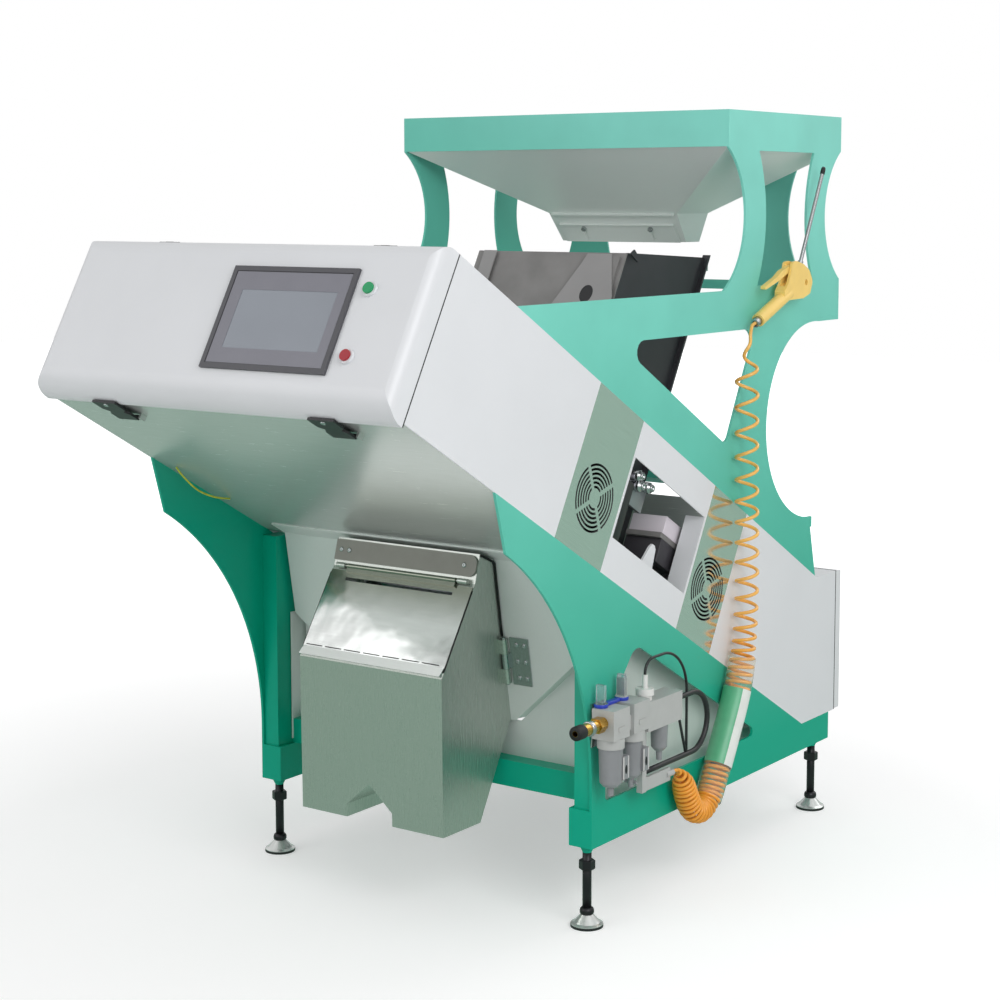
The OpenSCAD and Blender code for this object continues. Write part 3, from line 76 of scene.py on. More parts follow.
def tone(code):
    # sRGB hex to linear RGBA
    parts = [int(code[i:i + 2], 16) / 255 for i in (1, 3, 5)]
    return [p / 12.92 if p <= 0.04045 else ((p + 0.055) / 1.055) ** 2.4 for p in parts] + [1]


def addNode(tree, kind, settings=None, links=None):
    # one node with its settings, by input or by property, and its links
    node = tree.nodes.new(kind)
    for key, value in (settings or {}).items():
        if isinstance(key, int) or key in node.inputs:
            node.inputs[key].default_value = value
        else:
            setattr(node, key, value)
    for key, source in (links or {}).items():
        tree.links.new(source, node.inputs[key])
    return node


# camera where the photograph was taken from, its focal length and middle in pixels
view = dict(place=(2631.3, -3343.8, 1488), azimuth=35.26, elevation=6.14,
    focal=2019.17, middle=(518.25, 417.08), picture=1000)
cameraData = bpy.data.cameras.new("photoCamera")
cameraData.lens = view["focal"] / view["picture"] * cameraData.sensor_width
cameraData.shift_x = (view["picture"] / 2 - view["middle"][0]) / view["picture"]
cameraData.shift_y = (view["middle"][1] - view["picture"] / 2) / view["picture"]
camera = bpy.data.objects.new("photoCamera", cameraData)
camera.location = place(view["place"])
camera.rotation_euler = (math.radians(90 - view["elevation"]), 0, math.radians(view["azimuth"]))
scene.collection.objects.link(camera)
scene.camera = camera
scene.view_settings.view_transform = "Standard"
print("sorter: camera set")


def surface(name, grid, closeU=False, closeV=False, smooth=True):
    # points [copies, rows, columns, xyz] in metres, each joined to the next ones, equal ones welded
    grid = np.asarray(grid, float)
    if grid.ndim == 3:
        grid = grid[None]
    index = np.arange(grid[..., 0].size).reshape(grid.shape[:3])
    if closeU:
        index = np.concatenate([index, index[:, :1]], axis=1)
    if closeV:
        index = np.concatenate([index, index[:, :, :1]], axis=2)
    corners = [index[:, :-1, :-1], index[:, :-1, 1:], index[:, 1:, 1:], index[:, 1:, :-1]]
    quads = np.stack(corners, axis=-1).reshape(-1, 4)
    points = grid.reshape(-1, 3)
    first, inverse = np.unique(np.round(points, 7), axis=0, return_index=True, return_inverse=True)[1:]
    faces = [list(dict.fromkeys(quad)) for quad in inverse.reshape(-1)[quads].tolist()]
    mesh = bpy.data.meshes.new(name)
    mesh.from_pydata(points[first].tolist(), [], [face for face in faces if len(face) > 2])
    mesh.polygons.foreach_set("use_smooth", np.full(len(mesh.polygons), smooth))
    mesh.update()
    obj = bpy.data.objects.new(name, mesh)
    scene.collection.objects.link(obj)
    return obj


def dress(obj, finish, body):
    # finish by its name, body that carries the piece, material slot
    obj.data.materials.append(finishes[finish])
    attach(obj, body)
    return obj


def axes(direction):
    # u and v square to a direction d: u = d x helper axis, v = d x u, all of length one
    d = np.asarray(direction, float)
    d = d / np.linalg.norm(d, axis=-1, keepdims=True)
    helper = np.where(np.abs(d[..., :1]) > 0.9, [0.0, 0.0, 1.0], [1.0, 0.0, 0.0])
    u = np.cross(d, helper)
    u = u / np.linalg.norm(u, axis=-1, keepdims=True)
    return u, np.cross(d, u), d


def fullTurn(count):
    # evenly spaced angles of one turn
    return np.linspace(0, 2 * math.pi, count, endpoint=False)


def ringOn(u, v, count):
    # circle of radius one: u cos a + v sin a
    a = fullTurn(count)
    return np.cos(a)[:, None] * u[..., None, :] + np.sin(a)[:, None] * v[..., None, :]


def turned(name, profile, spots, direction, sides=20, smooth=True):
    # profile of [radius, height] turned round d at each spot p, in drawing millimetres: p + r ring + h d
    u, v, d = axes(direction)
    spots = np.asarray(spots, float).reshape(-1, 1, 1, 3)
    profile = np.asarray(profile, float)[None, :, None]
    grid = spots + profile[..., :1] * ringOn(u, v, sides)[None, None] + profile[..., 1:] * d
    return surface(name, place(grid), closeV=True, smooth=smooth)


def tubeRound(path, radius, sides):
    # circles square to a path: p + r ring
    u, v = axes(np.gradient(path, axis=0))[:2]
    return path[:, None] + radius * ringOn(u, v, sides)


def wire(name, path, radius, sides=10):
    # round section carried along a path of drawing millimetres, closed flat at both ends
    path = np.asarray(path, float)
    start, end = [np.repeat(path[i][None, None], sides, axis=1) for i in (0, -1)]
    grid = np.concatenate([start, tubeRound(path, radius, sides), end])
    return surface(name, place(grid), closeV=True)


def smoothPath(points, count):
    # Catmull-Rom curve: from b to c a cubic with slopes (c - a) / 2 and (d - b) / 2, then resampled evenly
    p = np.asarray(points, float)
    p = np.concatenate([[2 * p[0] - p[1]], p, [2 * p[-1] - p[-2]]])
    t = np.linspace(0, len(p) - 3 - 1e-9, 40 * len(p))
    i = t.astype(int)
    f = (t - i)[:, None]
    a, b, c, d = p[i], p[i + 1], p[i + 2], p[i + 3]
    bent, twisted = 2 * a - 5 * b + 4 * c - d, 3 * b - a - 3 * c + d
    curve = 0.5 * (2 * b + (c - a) * f + bent * f ** 2 + twisted * f ** 3)
    length = np.concatenate([[0], np.cumsum(np.linalg.norm(np.diff(curve[:, :3], axis=0), axis=1))])
    even = np.linspace(0, length[-1], count)
    return np.stack([np.interp(even, length, curve[:, k]) for k in range(p.shape[1])], axis=1), even


def softBox(name, low, high, edge, lay=None, sides=16, rows=10):
    # boxes with rounded edges: c + sign(n) (h - r) + r n for directions n over the sphere
    low, high = np.atleast_2d(np.asarray(low, float)), np.atleast_2d(np.asarray(high, float))
    c, h = (low + high)[:, None, None] / 2, (high - low)[:, None, None] / 2
    a = (np.arange(sides) + 0.5) * 2 * math.pi / sides
    b = np.linspace(-math.pi / 2, math.pi / 2, rows)[:, None]
    n = np.stack([np.cos(b) * np.cos(a), np.cos(b) * np.sin(a), np.sin(b) + 0 * a], axis=-1)[None]
    caps = [np.repeat(c + h * [0, 0, k], sides, axis=2) for k in (-1, 1)]
    grid = np.concatenate([caps[0], c + np.sign(n) * (h - edge) + edge * n, caps[1]], axis=1)
    return surface(name, place(lay(grid) if lay else grid), closeV=True)


def flatPlate(name, outline, low, high, lay):
    # closed plate between two levels over an outline, both faces fanned from its middle
    outline = np.asarray(outline, float)
    centre = np.repeat(outline.mean(axis=0)[None], len(outline), axis=0)
    rings = [lay(high, centre), lay(high, outline), lay(low, outline), lay(low, centre)]
    return surface(name, place(np.array(rings)), closeV=True, smooth=False)


def onFront(level, ring):
    # outline of x and t on a front of the tilted body, the level along s
    return tilted(ring[:, 0], level, ring[:, 1])


def onSide(level, ring):
    # outline of s and t on the body's side, the level along x
    return tilted(level, ring[:, 0], ring[:, 1])


def paint(obj, finishNames, rule):
    # a finish for each face, by a rule on the face centres in drawing millimetres
    mesh = obj.data
    centres = np.empty(len(mesh.polygons) * 3)
    mesh.polygons.foreach_get("center", centres)
    matrix = np.array(obj.matrix_world)
    spots = centres.reshape(-1, 3) @ matrix[:3, :3].T + matrix[:3, 3]
    mesh.materials.clear()
    for name in finishNames:
        mesh.materials.append(finishes[name])
    mesh.polygons.foreach_set("material_index", rule(spots * 1000 + machine["middle"]).astype(int))


def cordCurve(name, points, tube, finish):
    # one open spline of metres with a round section of the tube's width in mm
    curve = bpy.data.curves.new(name, "CURVE")
    curve.dimensions = "3D"
    curve.bevel_depth = tube / 2000
    curve.bevel_resolution = 2
    curve.use_fill_caps = True
    spline = curve.splines.new("POLY")
    spline.points.add(len(points) - 1)
    spline.points.foreach_set("co", np.concatenate([points, np.ones((len(points), 1))], axis=1).ravel())
    spline.use_smooth = True
    obj = bpy.data.objects.new(name, curve)
    scene.collection.objects.link(obj)
    dress(obj, finish, "frame")
    length = float(np.linalg.norm(np.diff(points, axis=0), axis=1).sum())
    return obj, length


def blank(name, settings):
    # new material with the inputs of its shader set by name
    m = bpy.data.materials.new(name)
    m.use_nodes = True
    shader = m.node_tree.nodes["Principled BSDF"]
    for key, value in settings.items():
        shader.inputs[key].default_value = value
    return m, m.node_tree, shader


def graded(tree, coords, way, span, fixed, colour):
    # from Color1 to Color2 along a way w: share = (p . w - start) / (end - start), start and end in mm
    along = addNode(tree, "ShaderNodeVectorMath", {"operation": "DOT_PRODUCT", 1: way}, {0: coords})
    limits = {"From Min": span[0] / 1000, "From Max": span[1] / 1000}
    share = addNode(tree, "ShaderNodeMapRange", limits, {"Value": along.outputs["Value"]})
    links = {"Fac": share.outputs["Result"], **colour}
    return addNode(tree, "ShaderNodeMixRGB", fixed, links).outputs["Color"]


# what all coats share: edges of the cloud ramp, change of roughness, strength of the peel, way of deepening
# (painted shade on the teal coat)
coatLook = dict(ramp=(0.3, 0.7), glossier=0.04, duller=0.05, peel=0.25, lowWay=(0.6, 0, 1))


def coat(name, code, rough, grit, lift, cloud=0.04, cloudSize=180, metallic=0.0, spec=0.5, varnish=0.0,
        low=None):
    # paint or plastic: colour (1 +- cloud) by slow noise, and an orange peel of the given grit and lift in mm
    m, tree, shader = blank(name, {"Metallic": metallic, "Specular IOR Level": spec, "Coat Weight": varnish})
    coords = addNode(tree, "ShaderNodeTexCoord").outputs["Object"]
    clouds = addNode(tree, "ShaderNodeTexNoise", {"Scale": 1000 / cloudSize, "Detail": 3}, {"Vector": coords})
    ramp = addNode(tree, "ShaderNodeValToRGB", links={"Fac": clouds.outputs["Fac"]})
    for end, spot, share in zip(ramp.color_ramp.elements, coatLook["ramp"], (1 - cloud, 1 + cloud)):
        end.color = [min(1, b * share) for b in tone(code)[:3]] + [1]
        end.position = spot
    colour = ramp.outputs["Color"]
    if low:
        # deeper toward the floor and the left, paler toward the top right; on the teal coat this is painted
        # shade and painted light
        deep = {"Color1": tone(low[0])}
        colour = graded(tree, coords, coatLook["lowWay"], low[1:], deep, {"Color2": colour})
    tree.links.new(colour, shader.inputs["Base Color"])
    peel = addNode(tree, "ShaderNodeTexNoise", {"Scale": 1000 / grit, "Detail": 2}, {"Vector": coords})
    limits = {"To Min": rough - coatLook["glossier"], "To Max": rough + coatLook["duller"]}
    spread = addNode(tree, "ShaderNodeMapRange", limits, {"Value": clouds.outputs["Fac"]})
    tree.links.new(spread.outputs["Result"], shader.inputs["Roughness"])
    relief = {"Strength": coatLook["peel"], "Distance": lift / 1000}
    bump = addNode(tree, "ShaderNodeBump", relief, {"Height": peel.outputs["Fac"]})
    tree.links.new(bump.outputs["Normal"], shader.inputs["Normal"])
    return m


# what all rolled and turned metal shares: length of the lines, their tones and roughness, relief in mm
rolledLook = dict(drawn=40, dark=0.14, bright=0.08, smoother=0.75, rougher=1.3, relief=0.15, lift=0.02)


def brushed(name, code, rough, along=(1, 0, 0), turn=0.0, line=1.6, wave=0.0, waveSize=120, metal=1.0,
        contrast=1.0, paintedShade=None):
    # rolled steel: noise in lines of a width in mm, drawn out along one axis, over a slow wave of the sheet
    # real lines are finer than a pixel, so they are drawn this wide to show
    m, tree, shader = blank(name, {"Metallic": metal})
    coords = addNode(tree, "ShaderNodeTexCoord").outputs["Object"]
    # turned first, so that the lines follow the tilted body
    swing = addNode(tree, "ShaderNodeMapping", {"Rotation": (turn, 0, 0)}, {"Vector": coords})
    scale = [1000 / line / (rolledLook["drawn"] if k else 1) for k in along]
    lines = addNode(tree, "ShaderNodeMapping", {"Scale": scale}, {"Vector": swing.outputs["Vector"]})
    fine = {"Scale": 1.0, "Detail": 4, "Roughness": 0.6}
    grain = addNode(tree, "ShaderNodeTexNoise", fine, {"Vector": lines.outputs["Vector"]}).outputs["Fac"]
    ramp = addNode(tree, "ShaderNodeValToRGB", links={"Fac": grain})
    shares = 1 - rolledLook["dark"] * contrast, 1 + rolledLook["bright"] * contrast
    for end, share in zip(ramp.color_ramp.elements, shares):
        end.color = [min(1, b * share) for b in tone(code)[:3]] + [1]
    colour = ramp.outputs["Color"]
    if paintedShade:
        # toward another tone with height: painted shade, used on the lid
        colour = graded(tree, coords, (0, 0, 1), paintedShade[1:], {"Color2": tone(paintedShade[0])}, {"Color1": colour})
    tree.links.new(colour, shader.inputs["Base Color"])
    limits = {"To Min": rough * rolledLook["smoother"], "To Max": rough * rolledLook["rougher"]}
    spread = addNode(tree, "ShaderNodeMapRange", limits, {"Value": grain})
    tree.links.new(spread.outputs["Result"], shader.inputs["Roughness"])
    relief = {"Strength": rolledLook["relief"], "Distance": rolledLook["lift"] / 1000}
    normal = addNode(tree, "ShaderNodeBump", relief, {"Height": grain}).outputs["Normal"]
    if wave:
        noise = {"Scale": 1000 / waveSize, "Detail": 2}
        slow = addNode(tree, "ShaderNodeTexNoise", noise, {"Vector": coords})
        links = {"Height": slow.outputs["Fac"], "Normal": normal}
        relief = {"Strength": 1.0, "Distance": wave / 1000}
        normal = addNode(tree, "ShaderNodeBump", relief, links).outputs["Normal"]
    tree.links.new(normal, shader.inputs["Normal"])
    return m


def clear(name, code, rough, ior, through=0.85):
    # clear plastic or glass: most of the light goes through
    settings = {"Base Color": tone(code), "Roughness": rough, "IOR": ior, "Transmission Weight": through}
    return blank(name, settings)[0]


tilt = machine["tilt"]
finishes = {
    # powder coat on laser-cut plate: satin, fine orange peel; painted shade low and left, painted light top
    # right
    "tealPaint": coat("tealPowderCoat", "#84d8c9", 0.36, 1.6, 0.05, cloud=0.05, spec=0.22,
        low=("#00a98a", 500, 1750)),
    # the same coat in white: even and clean
    "whitePaint": coat("whitePowderCoat", "#e0e2e5", 0.34, 1.6, 0.04, cloud=0.015),
    # matt coat in black: dull, a little cloudy
    "blackPaint": coat("blackMattCoat", "#37353a", 0.5, 1.4, 0.05, cloud=0.12, cloudSize=60),
    # hammer coat: coarse peel and patches of grey
    "greyPaint": coat("greyHammerCoat", "#7f7d7c", 0.45, 2.4, 0.08, cloud=0.16, cloudSize=90),
    "lightGrey": coat("lightGreyCoat", "#949292", 0.42, 2.0, 0.06, cloud=0.05, cloudSize=90),
    # oxidised steel: black with a dull metal sheen
    "blackOxide": coat("blackOxideSteel", "#2a2a2d", 0.38, 1.0, 0.04, cloud=0.15, cloudSize=30, metallic=0.6),
    # cold-rolled stainless sheet: drawn-out reflections that wave with it, lines across, along or upright
    "sheetAcross": brushed("stainlessSheetAcross", "#ccd3cf", 0.24, (1, 0, 0), tilt, wave=0.5, metal=0.5),
    "sheetAlong": brushed("stainlessSheetAlong", "#dde2df", 0.12, (0, 1, 0), tilt, wave=0.4, waveSize=110,
        metal=0.9),
    "sheetUp": brushed("stainlessSheetUpright", "#bcc1bb", 0.28, (0, 0, 1), line=1.2, wave=0.6, metal=0.85,
        contrast=0.4),
    # matt rolled sheet of the hopper and of the panels behind the outlet: pale, hardly a mirror
    "sheetMatt": brushed("stainlessSheetMatt", "#e3e9e6", 0.36, (0, 0, 1), line=1.2, wave=0.4, metal=0.2,
        contrast=0.4),
    # polished lid: a mirror, with painted shade that darkens it toward its upper edge
    "lidSheet": brushed("stainlessLid", "#cfd2d0", 0.14, wave=1.6, waveSize=90, paintedShade=("#8a8e83", 616, 683)),
    # folded edge of the lid, near white and without metal as a painted highlight, and the dull strip above it
    "lipHighlight": brushed("stainlessLipHighlight", "#f4f6f4", 0.36, line=1.2, metal=0.0, contrast=0.3),
    "stripSteel": coat("dullStripSteel", "#86877e", 0.36, 1.0, 0.03, cloud=0.06, cloudSize=40),
    # turned and plated steel: bright, with fine rings
    "turnedSteel": brushed("turnedSteel", "#b9bbbd", 0.25, (0, 0, 1), line=0.8),
    "padSteel": brushed("platedPadSteel", "#d8dbd9", 0.22, (0, 0, 1), line=0.8, metal=0.6),
    # anodised aluminium: silky grey
    "anodised": coat("anodisedAluminium", "#a9a6ae", 0.38, 0.8, 0.02, cloud=0.05, cloudSize=40,
        metallic=0.85),
    "paleShelf": coat("paleShelfCoat", "#dcd4dc", 0.4, 1.2, 0.03, cloud=0.03, cloudSize=60),
    # painted die casting: soft grey with a faint grain
    "dieCast": coat("paintedDieCast", "#b4b6b4", 0.42, 1.2, 0.06, cloud=0.03, cloudSize=30),
    # turned brass: warm, with fine rings
    "brass": brushed("turnedBrass", "#c9a04e", 0.26, (0, 1, 0), line=0.7),
    # moulded nylon and ABS: satin, with a fine grain from the mould
    "blackPlastic": coat("blackNylon", "#1d1d20", 0.42, 0.9, 0.04, cloud=0.1, cloudSize=40),
    "bezelPlastic": coat("bezelAbs", "#4b4b50", 0.4, 0.8, 0.03, cloud=0.04, cloudSize=60),
    "bowlPlastic": coat("greyBowlNylon", "#8b8d90", 0.35, 0.9, 0.03, cloud=0.05, cloudSize=30),
    "gaugePlastic": coat("whiteGaugeAbs", "#e2e2df", 0.35, 0.9, 0.02, cloud=0.02, cloudSize=20),
    "yellowPlastic": coat("yellowGunNylon", "#fad679", 0.38, 0.9, 0.04, cloud=0.04, cloudSize=30),
    "blueAbs": coat("blueLockAbs", "#2a41b8", 0.3, 0.8, 0.02, cloud=0.05, cloudSize=20),
    # polished caps: smooth and glossy
    "greenPlastic": coat("greenButtonAbs", "#189a60", 0.25, 0.8, 0.01, cloud=0.03, cloudSize=20),
    "redPlastic": coat("redButtonAbs", "#a5202c", 0.25, 0.8, 0.01, cloud=0.03, cloudSize=20),
    # drawn polyurethane tube: glossy, deeper orange toward the floor
    "hosePlastic": coat("orangePolyurethane", "#f8be62", 0.22, 0.9, 0.01, cloud=0.05, cloudSize=50,
        low=("#f5a63a", 620, 970)),
    # moulded rubber: dull black
    "rubber": coat("blackRubber", "#17171a", 0.6, 0.9, 0.05, cloud=0.1, cloudSize=30),
    # polyester and vinyl film: smooth, softly glossy
    "filmGrey": coat("greyKeypadFilm", "#7d7d86", 0.3, 0.8, 0.01, cloud=0.03, cloudSize=80),
    "sleeveGreen": coat("greenSleeveVinyl", "#5cb286", 0.3, 0.9, 0.02, cloud=0.06, cloudSize=30),
    "sleeveWhite": coat("whiteSleeveVinyl", "#e6ebe6", 0.3, 0.9, 0.02, cloud=0.04, cloudSize=30),
    # extruded sheath: yellow with a green cast in patches
    "earthSheath": coat("yellowGreenSheath", "#c3c93a", 0.4, 0.9, 0.02, cloud=0.2, cloudSize=14),
    # thin packing film, float glass and polycarbonate: see-through, with clear reflections
    "filmClear": clear("clearPackingFilm", "#f4f1e6", 0.08, 1.05),
    "paneGlass": clear("floatGlass", "#dfeeee", 0.02, 1.5),
    "knobPlastic": clear("clearKnobPolycarbonate", "#e8edf4", 0.12, 1.58),
    # glass over a dark display: grey, with a clear reflection on top
    "screenGlass": coat("touchScreenGlass", "#8d939c", 0.1, 40, 0.0, cloud=0.1, cloudSize=400, varnish=0.4),
}
worn = {
    "tealPaint": "upper_frame_right upper_frame_left lower_frame_right lower_frame_left leg_posts "
        "cross_beams hopper_front_band hopper_rear_frame",
    "whitePaint": "front_box_shell bay_frames rear_box_shell front_cover rear_door",
    "sheetAcross": "underside_sheet optic_walls feeder_tray",
    "sheetAlong": "front_fan_panels rear_fan_panels",
    "sheetUp": "chute_slide outlet_box",
    "sheetMatt": "hopper_funnel hopper_gate collecting_hopper base_enclosure",
    "lidSheet": "outlet_lid",
    "padSteel": "foot_pads",
    "turnedSteel": "wiper_cylinder gate_screws outlet_hinge air_gun_nozzle frl_bracket",
    "blackOxide": "foot_stems",
    "blackPaint": "chute_sides feeder_vibrator cameras",
    "greyPaint": "chute_front_cover",
    "blackPlastic": "fan_frames front_fan_rotor rear_fan_rotor solenoid_valves latch_left latch_right wiper "
        "frl_tubes cover_hinges",
    "anodised": "ejector_manifold lamp_bars",
    "dieCast": "frl_body",
    "paneGlass": "window_glasses",
    "bezelPlastic": "screen_bezel",
    "screenGlass": "screen_glass",
    "greenPlastic": "start_button",
    "redPlastic": "stop_button",
    "bowlPlastic": "frl_bowls",
    "knobPlastic": "frl_knob",
    "gaugePlastic": "frl_gauge",
    "brass": "frl_inlet",
    "yellowPlastic": "air_gun air_gun_trigger",
    "hosePlastic": "air_hose",
}
for finish, names in worn.items():
    for name in names.split():
        for holder in nodes[name].material_slots:
            holder.material = finishes[finish]
print("sorter: finishes on", sum(len(n.split()) for n in worn.values()), "nodes")

# coiled air hose: helix round the route, its pitch following the stretch
hoseSpec = dict(tube=8.0, coil=56.0, perTurn=22, samples=4000,
    # x, y, z, share of the coil's radius, pitch
    route=[(480, 607, 1216, 0, 70), (480, 594, 1211, 0, 70), (484, 579, 1190, 0.02, 70),
        (484, 571, 1150, 0.35, 66), (484, 568, 1105, 1, 60), (484, 568, 1000, 1, 56), (484, 571, 880, 1, 50),
        (484, 575, 760, 1, 46), (484, 577, 650, 1, 42), (484, 574, 560, 1, 34), (484, 561, 470, 1, 20),
        (484, 530, 385, 1, 14), (484, 486, 305, 1, 13), (484, 445, 235, 1, 12), (484, 415, 188, 1, 11),
        (484, 382, 168, 1, 11), (484, 346, 178, 1, 11), (484, 322, 210, 1, 10), (484, 304, 248, 0.85, 10),
        (487, 286, 274, 0.2, 16), (490, 266, 284, 0, 30), (490, 250, 284, 0, 30)])
stations, far = smoothPath(hoseSpec["route"], hoseSpec["samples"])
centre, share, pitch = stations[:, :3], np.clip(stations[:, 3:4], 0, 1), stations[:, 4]
phase = np.concatenate([[0], np.cumsum(2 * math.pi / pitch[1:] * np.diff(far))])
ahead = np.gradient(centre, axis=0)
ahead /= np.linalg.norm(ahead, axis=1, keepdims=True)
side = np.cross(ahead, [1, 0, 0])
side /= np.linalg.norm(side, axis=1, keepdims=True)
cross = np.cross(ahead, side)
# helix: centre + reach (side cos phase + cross sin phase)
reach = share * (hoseSpec["coil"] - hoseSpec["tube"]) / 2
helix = centre + reach * (np.cos(phase)[:, None] * side + np.sin(phase)[:, None] * cross)
turns = phase[-1] / 2 / math.pi
keep = np.linspace(0, phase[-1], int(turns * hoseSpec["perTurn"]))
helix = place(np.stack([np.interp(keep, phase, helix[:, k]) for k in range(3)], axis=1))
hose, hoseLength = cordCurve("recoilHose", helix, hoseSpec["tube"], "hosePlastic")
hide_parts("air_hose")
print("sorter: hose of", round(hoseLength, 2), "m in", round(turns), "turns")

# clear film over the lower coil and a plain sleeve of two tones on it, lengths along the hose's route
wrap = dict(film=(760, 1085), filmRows=60, sleeve=(832, 1008), sleeveRows=40, radius=30.5, gap=1, sides=48,
    creases=5, creaseDepth=0.02, creaseLength=25, white=0.35)


def hoseSpine(span, count):
    # evenly spaced lengths between two, and the middle of the coil there
    rows = np.linspace(*span, count)
    return rows, np.stack([np.interp(rows, far, centre[:, k]) for k in range(3)], axis=1)


rows, spine = hoseSpine(wrap["film"], wrap["filmRows"])
# soft creases along the film: r = R (1 + depth sin(creases a) sin(l / length))
across, along = wrap["creases"] * fullTurn(wrap["sides"]), rows[:, None] / wrap["creaseLength"]
creased = wrap["radius"] * (1 + wrap["creaseDepth"] * np.sin(across) * np.sin(along))[..., None]
film = surface("hoseFilm", place(tubeRound(spine, creased, wrap["sides"])), closeV=True)
dress(film, "filmClear", "frame")
spine = hoseSpine(wrap["sleeve"], wrap["sleeveRows"])[1]
tube = tubeRound(spine, wrap["radius"] + wrap["gap"], wrap["sides"])
sleeve = surface("hoseSleeve", place(tube), closeV=True)
dress(sleeve, "sleeveGreen", "frame")
# the white strip lies to the right for a viewer at the front right
azimuth = math.radians(view["azimuth"])
rightward = np.array([math.cos(azimuth), math.sin(azimuth), 0])


def whiteStrip(spots):
    # share of the radius that a spot lies to the right of the nearest point of the spine, past a limit
    near = np.linalg.norm(spots[:, None] - spine[None], axis=2).argmin(axis=1)
    return ((spots - spine[near]) @ rightward) / wrap["radius"] > wrap["white"]


paint(sleeve, ["sleeveGreen", "sleeveWhite"], whiteStrip)
print("sorter: hose sleeve made")

# thin rubber seals that show as dark seams at the cover and at the rear door: start, bottom and top of each
seal = dict(width=3.0, proud=0.35, edge=0.3, lap=1, cover=(-1069, 653, 994), door=(1088, 238, 585))


def sealRound(name, start, bottom, top, lay=None):
    # three strips: left, right and top of the body, each standing proud of it
    half, lap, end = machine["halfWide"], seal["lap"], start + seal["width"]
    out = half + seal["proud"]
    low = [(-out, start, bottom), (half - lap, start, bottom), (-half, start, top - lap)]
    high = [(lap - half, end, top), (out, end, top), (half, end, top + seal["proud"])]
    dress(softBox(name, low, high, seal["edge"], lay), "rubber", "frame")


sealRound("coverSeal", *seal["cover"], lay=onTilt)
sealRound("doorSeal", *seal["door"])

# keypad film round the display: a flat frame closed round its edge
panel = dict(x=137, t=823, outer=(282, 189), inner=(233, 121), shift=(3, -3.5), s=-1128.5, lift=0.35)
corners = np.array([(-1, -1), (1, -1), (1, 1), (-1, 1)]) / 2
outer = corners * panel["outer"] + [panel["x"], panel["t"]]
inner = corners * panel["inner"] + [panel["x"], panel["t"]] + panel["shift"]
under, over = panel["s"], panel["s"] - panel["lift"]
rings = [onFront(under, outer), onFront(over, outer), onFront(over, inner), onFront(under, inner)]
film = surface("keypadFilm", place(np.array(rings)), closeU=True, closeV=True, smooth=False)
dress(film, "filmGrey", "front_cover")

# outlet: hinge line of the lid, angles of the strip and the lid, wall behind and its rearward run per mm down
outlet = dict(hinge=(-45, 700), stripAngle=math.degrees(math.atan2(60, 17)),
    lidAngle=math.degrees(math.atan2(178, 115)), wallTop=(22, 745), wallLean=9.67, wallFall=0.1704)
# cross-head screws: a low dome with a dimple, turned round the face's normal
screws = dict(head=[(5.5, 0), (5.5, 1.0), (4.9, 2.0), (3.2, 2.7), (1.6, 2.8), (1.2, 1.9), (0, 1.7)],
    strip=(-173, -151, 158), stripUp=36, stripOut=4.4, latch=(277, -1075, 646),
    plate=(226, 246), plateUp=(-262, -225, -188), plateOut=3)
stripAngle, wallAngle = outlet["stripAngle"], 90 + outlet["wallLean"]
spots = [sloped(outlet["hinge"], stripAngle, x, screws["stripOut"], screws["stripUp"])
    for x in screws["strip"]]
heads = turned("stripScrews", screws["head"], spots, facing(stripAngle))
dress(heads, "turnedSteel", "outlet_box")
spots = [sloped(outlet["wallTop"], wallAngle, x, screws["plateOut"], up)
    for x in screws["plate"] for up in screws["plateUp"]]
heads = turned("hingeScrews", screws["head"], spots, facing(wallAngle))
dress(heads, "turnedSteel", "frame")
x, s, t = screws["latch"]
for side, body in ((-1, "latch_left"), (1, "latch_right")):
    heads = turned("latchScrew." + body, screws["head"], [tilted(side * x, s, t)], tilted(0, 0, -1))
    dress(heads, "turnedSteel", body)

# sleeves on the knuckles of the cover's hinges
knuckle = dict(spots=[(-277, -1069, 1001), (277, -1069, 1001)],
    profile=[(7.02, -9.7), (7.4, -9.5), (7.4, 9.5), (7.02, 9.7)])
sleeves = turned("hingeSleeves", knuckle["profile"], [tilted(*p) for p in knuckle["spots"]], (1, 0, 0), 28)
dress(sleeves, "blackPlastic", "front_cover")
print("sorter: seals and screws made")

# air gun: knurled steel collar, leaning from the level, and dark nozzle tip, leaning from the upright
gun = dict(collar=(480, 622, 1222), collarLean=22, foot=[(4.2, -16.3), (10.2, -16.3)],
    ridge=[(10.5, -15.6), (10.15, -14.8)], ridges=9, pitch=1.75, head=[(10.4, 0.2), (10.05, 0.4)],
    nozzle=(480, 812, 1330), nozzleLean=26.9,
    tip=[(4.6, 243), (5.4, 244), (5.6, 250), (5.2, 258), (3.8, 261.5), (2.6, 261.5), (2.55, 256)])
knurl = [(r, h + gun["pitch"] * k) for k in range(gun["ridges"]) for r, h in gun["ridge"]]
profile = gun["foot"] + knurl + gun["head"]
collar = turned("gunCollar", profile, [gun["collar"]], facing(gun["collarLean"] - 90), 28)
dress(collar, "turnedSteel", "frame")
nozzleTip = turned("nozzleTip", gun["tip"], [gun["nozzle"]], facing(-gun["nozzleLean"]))
dress(nozzleTip, "rubber", "frame")

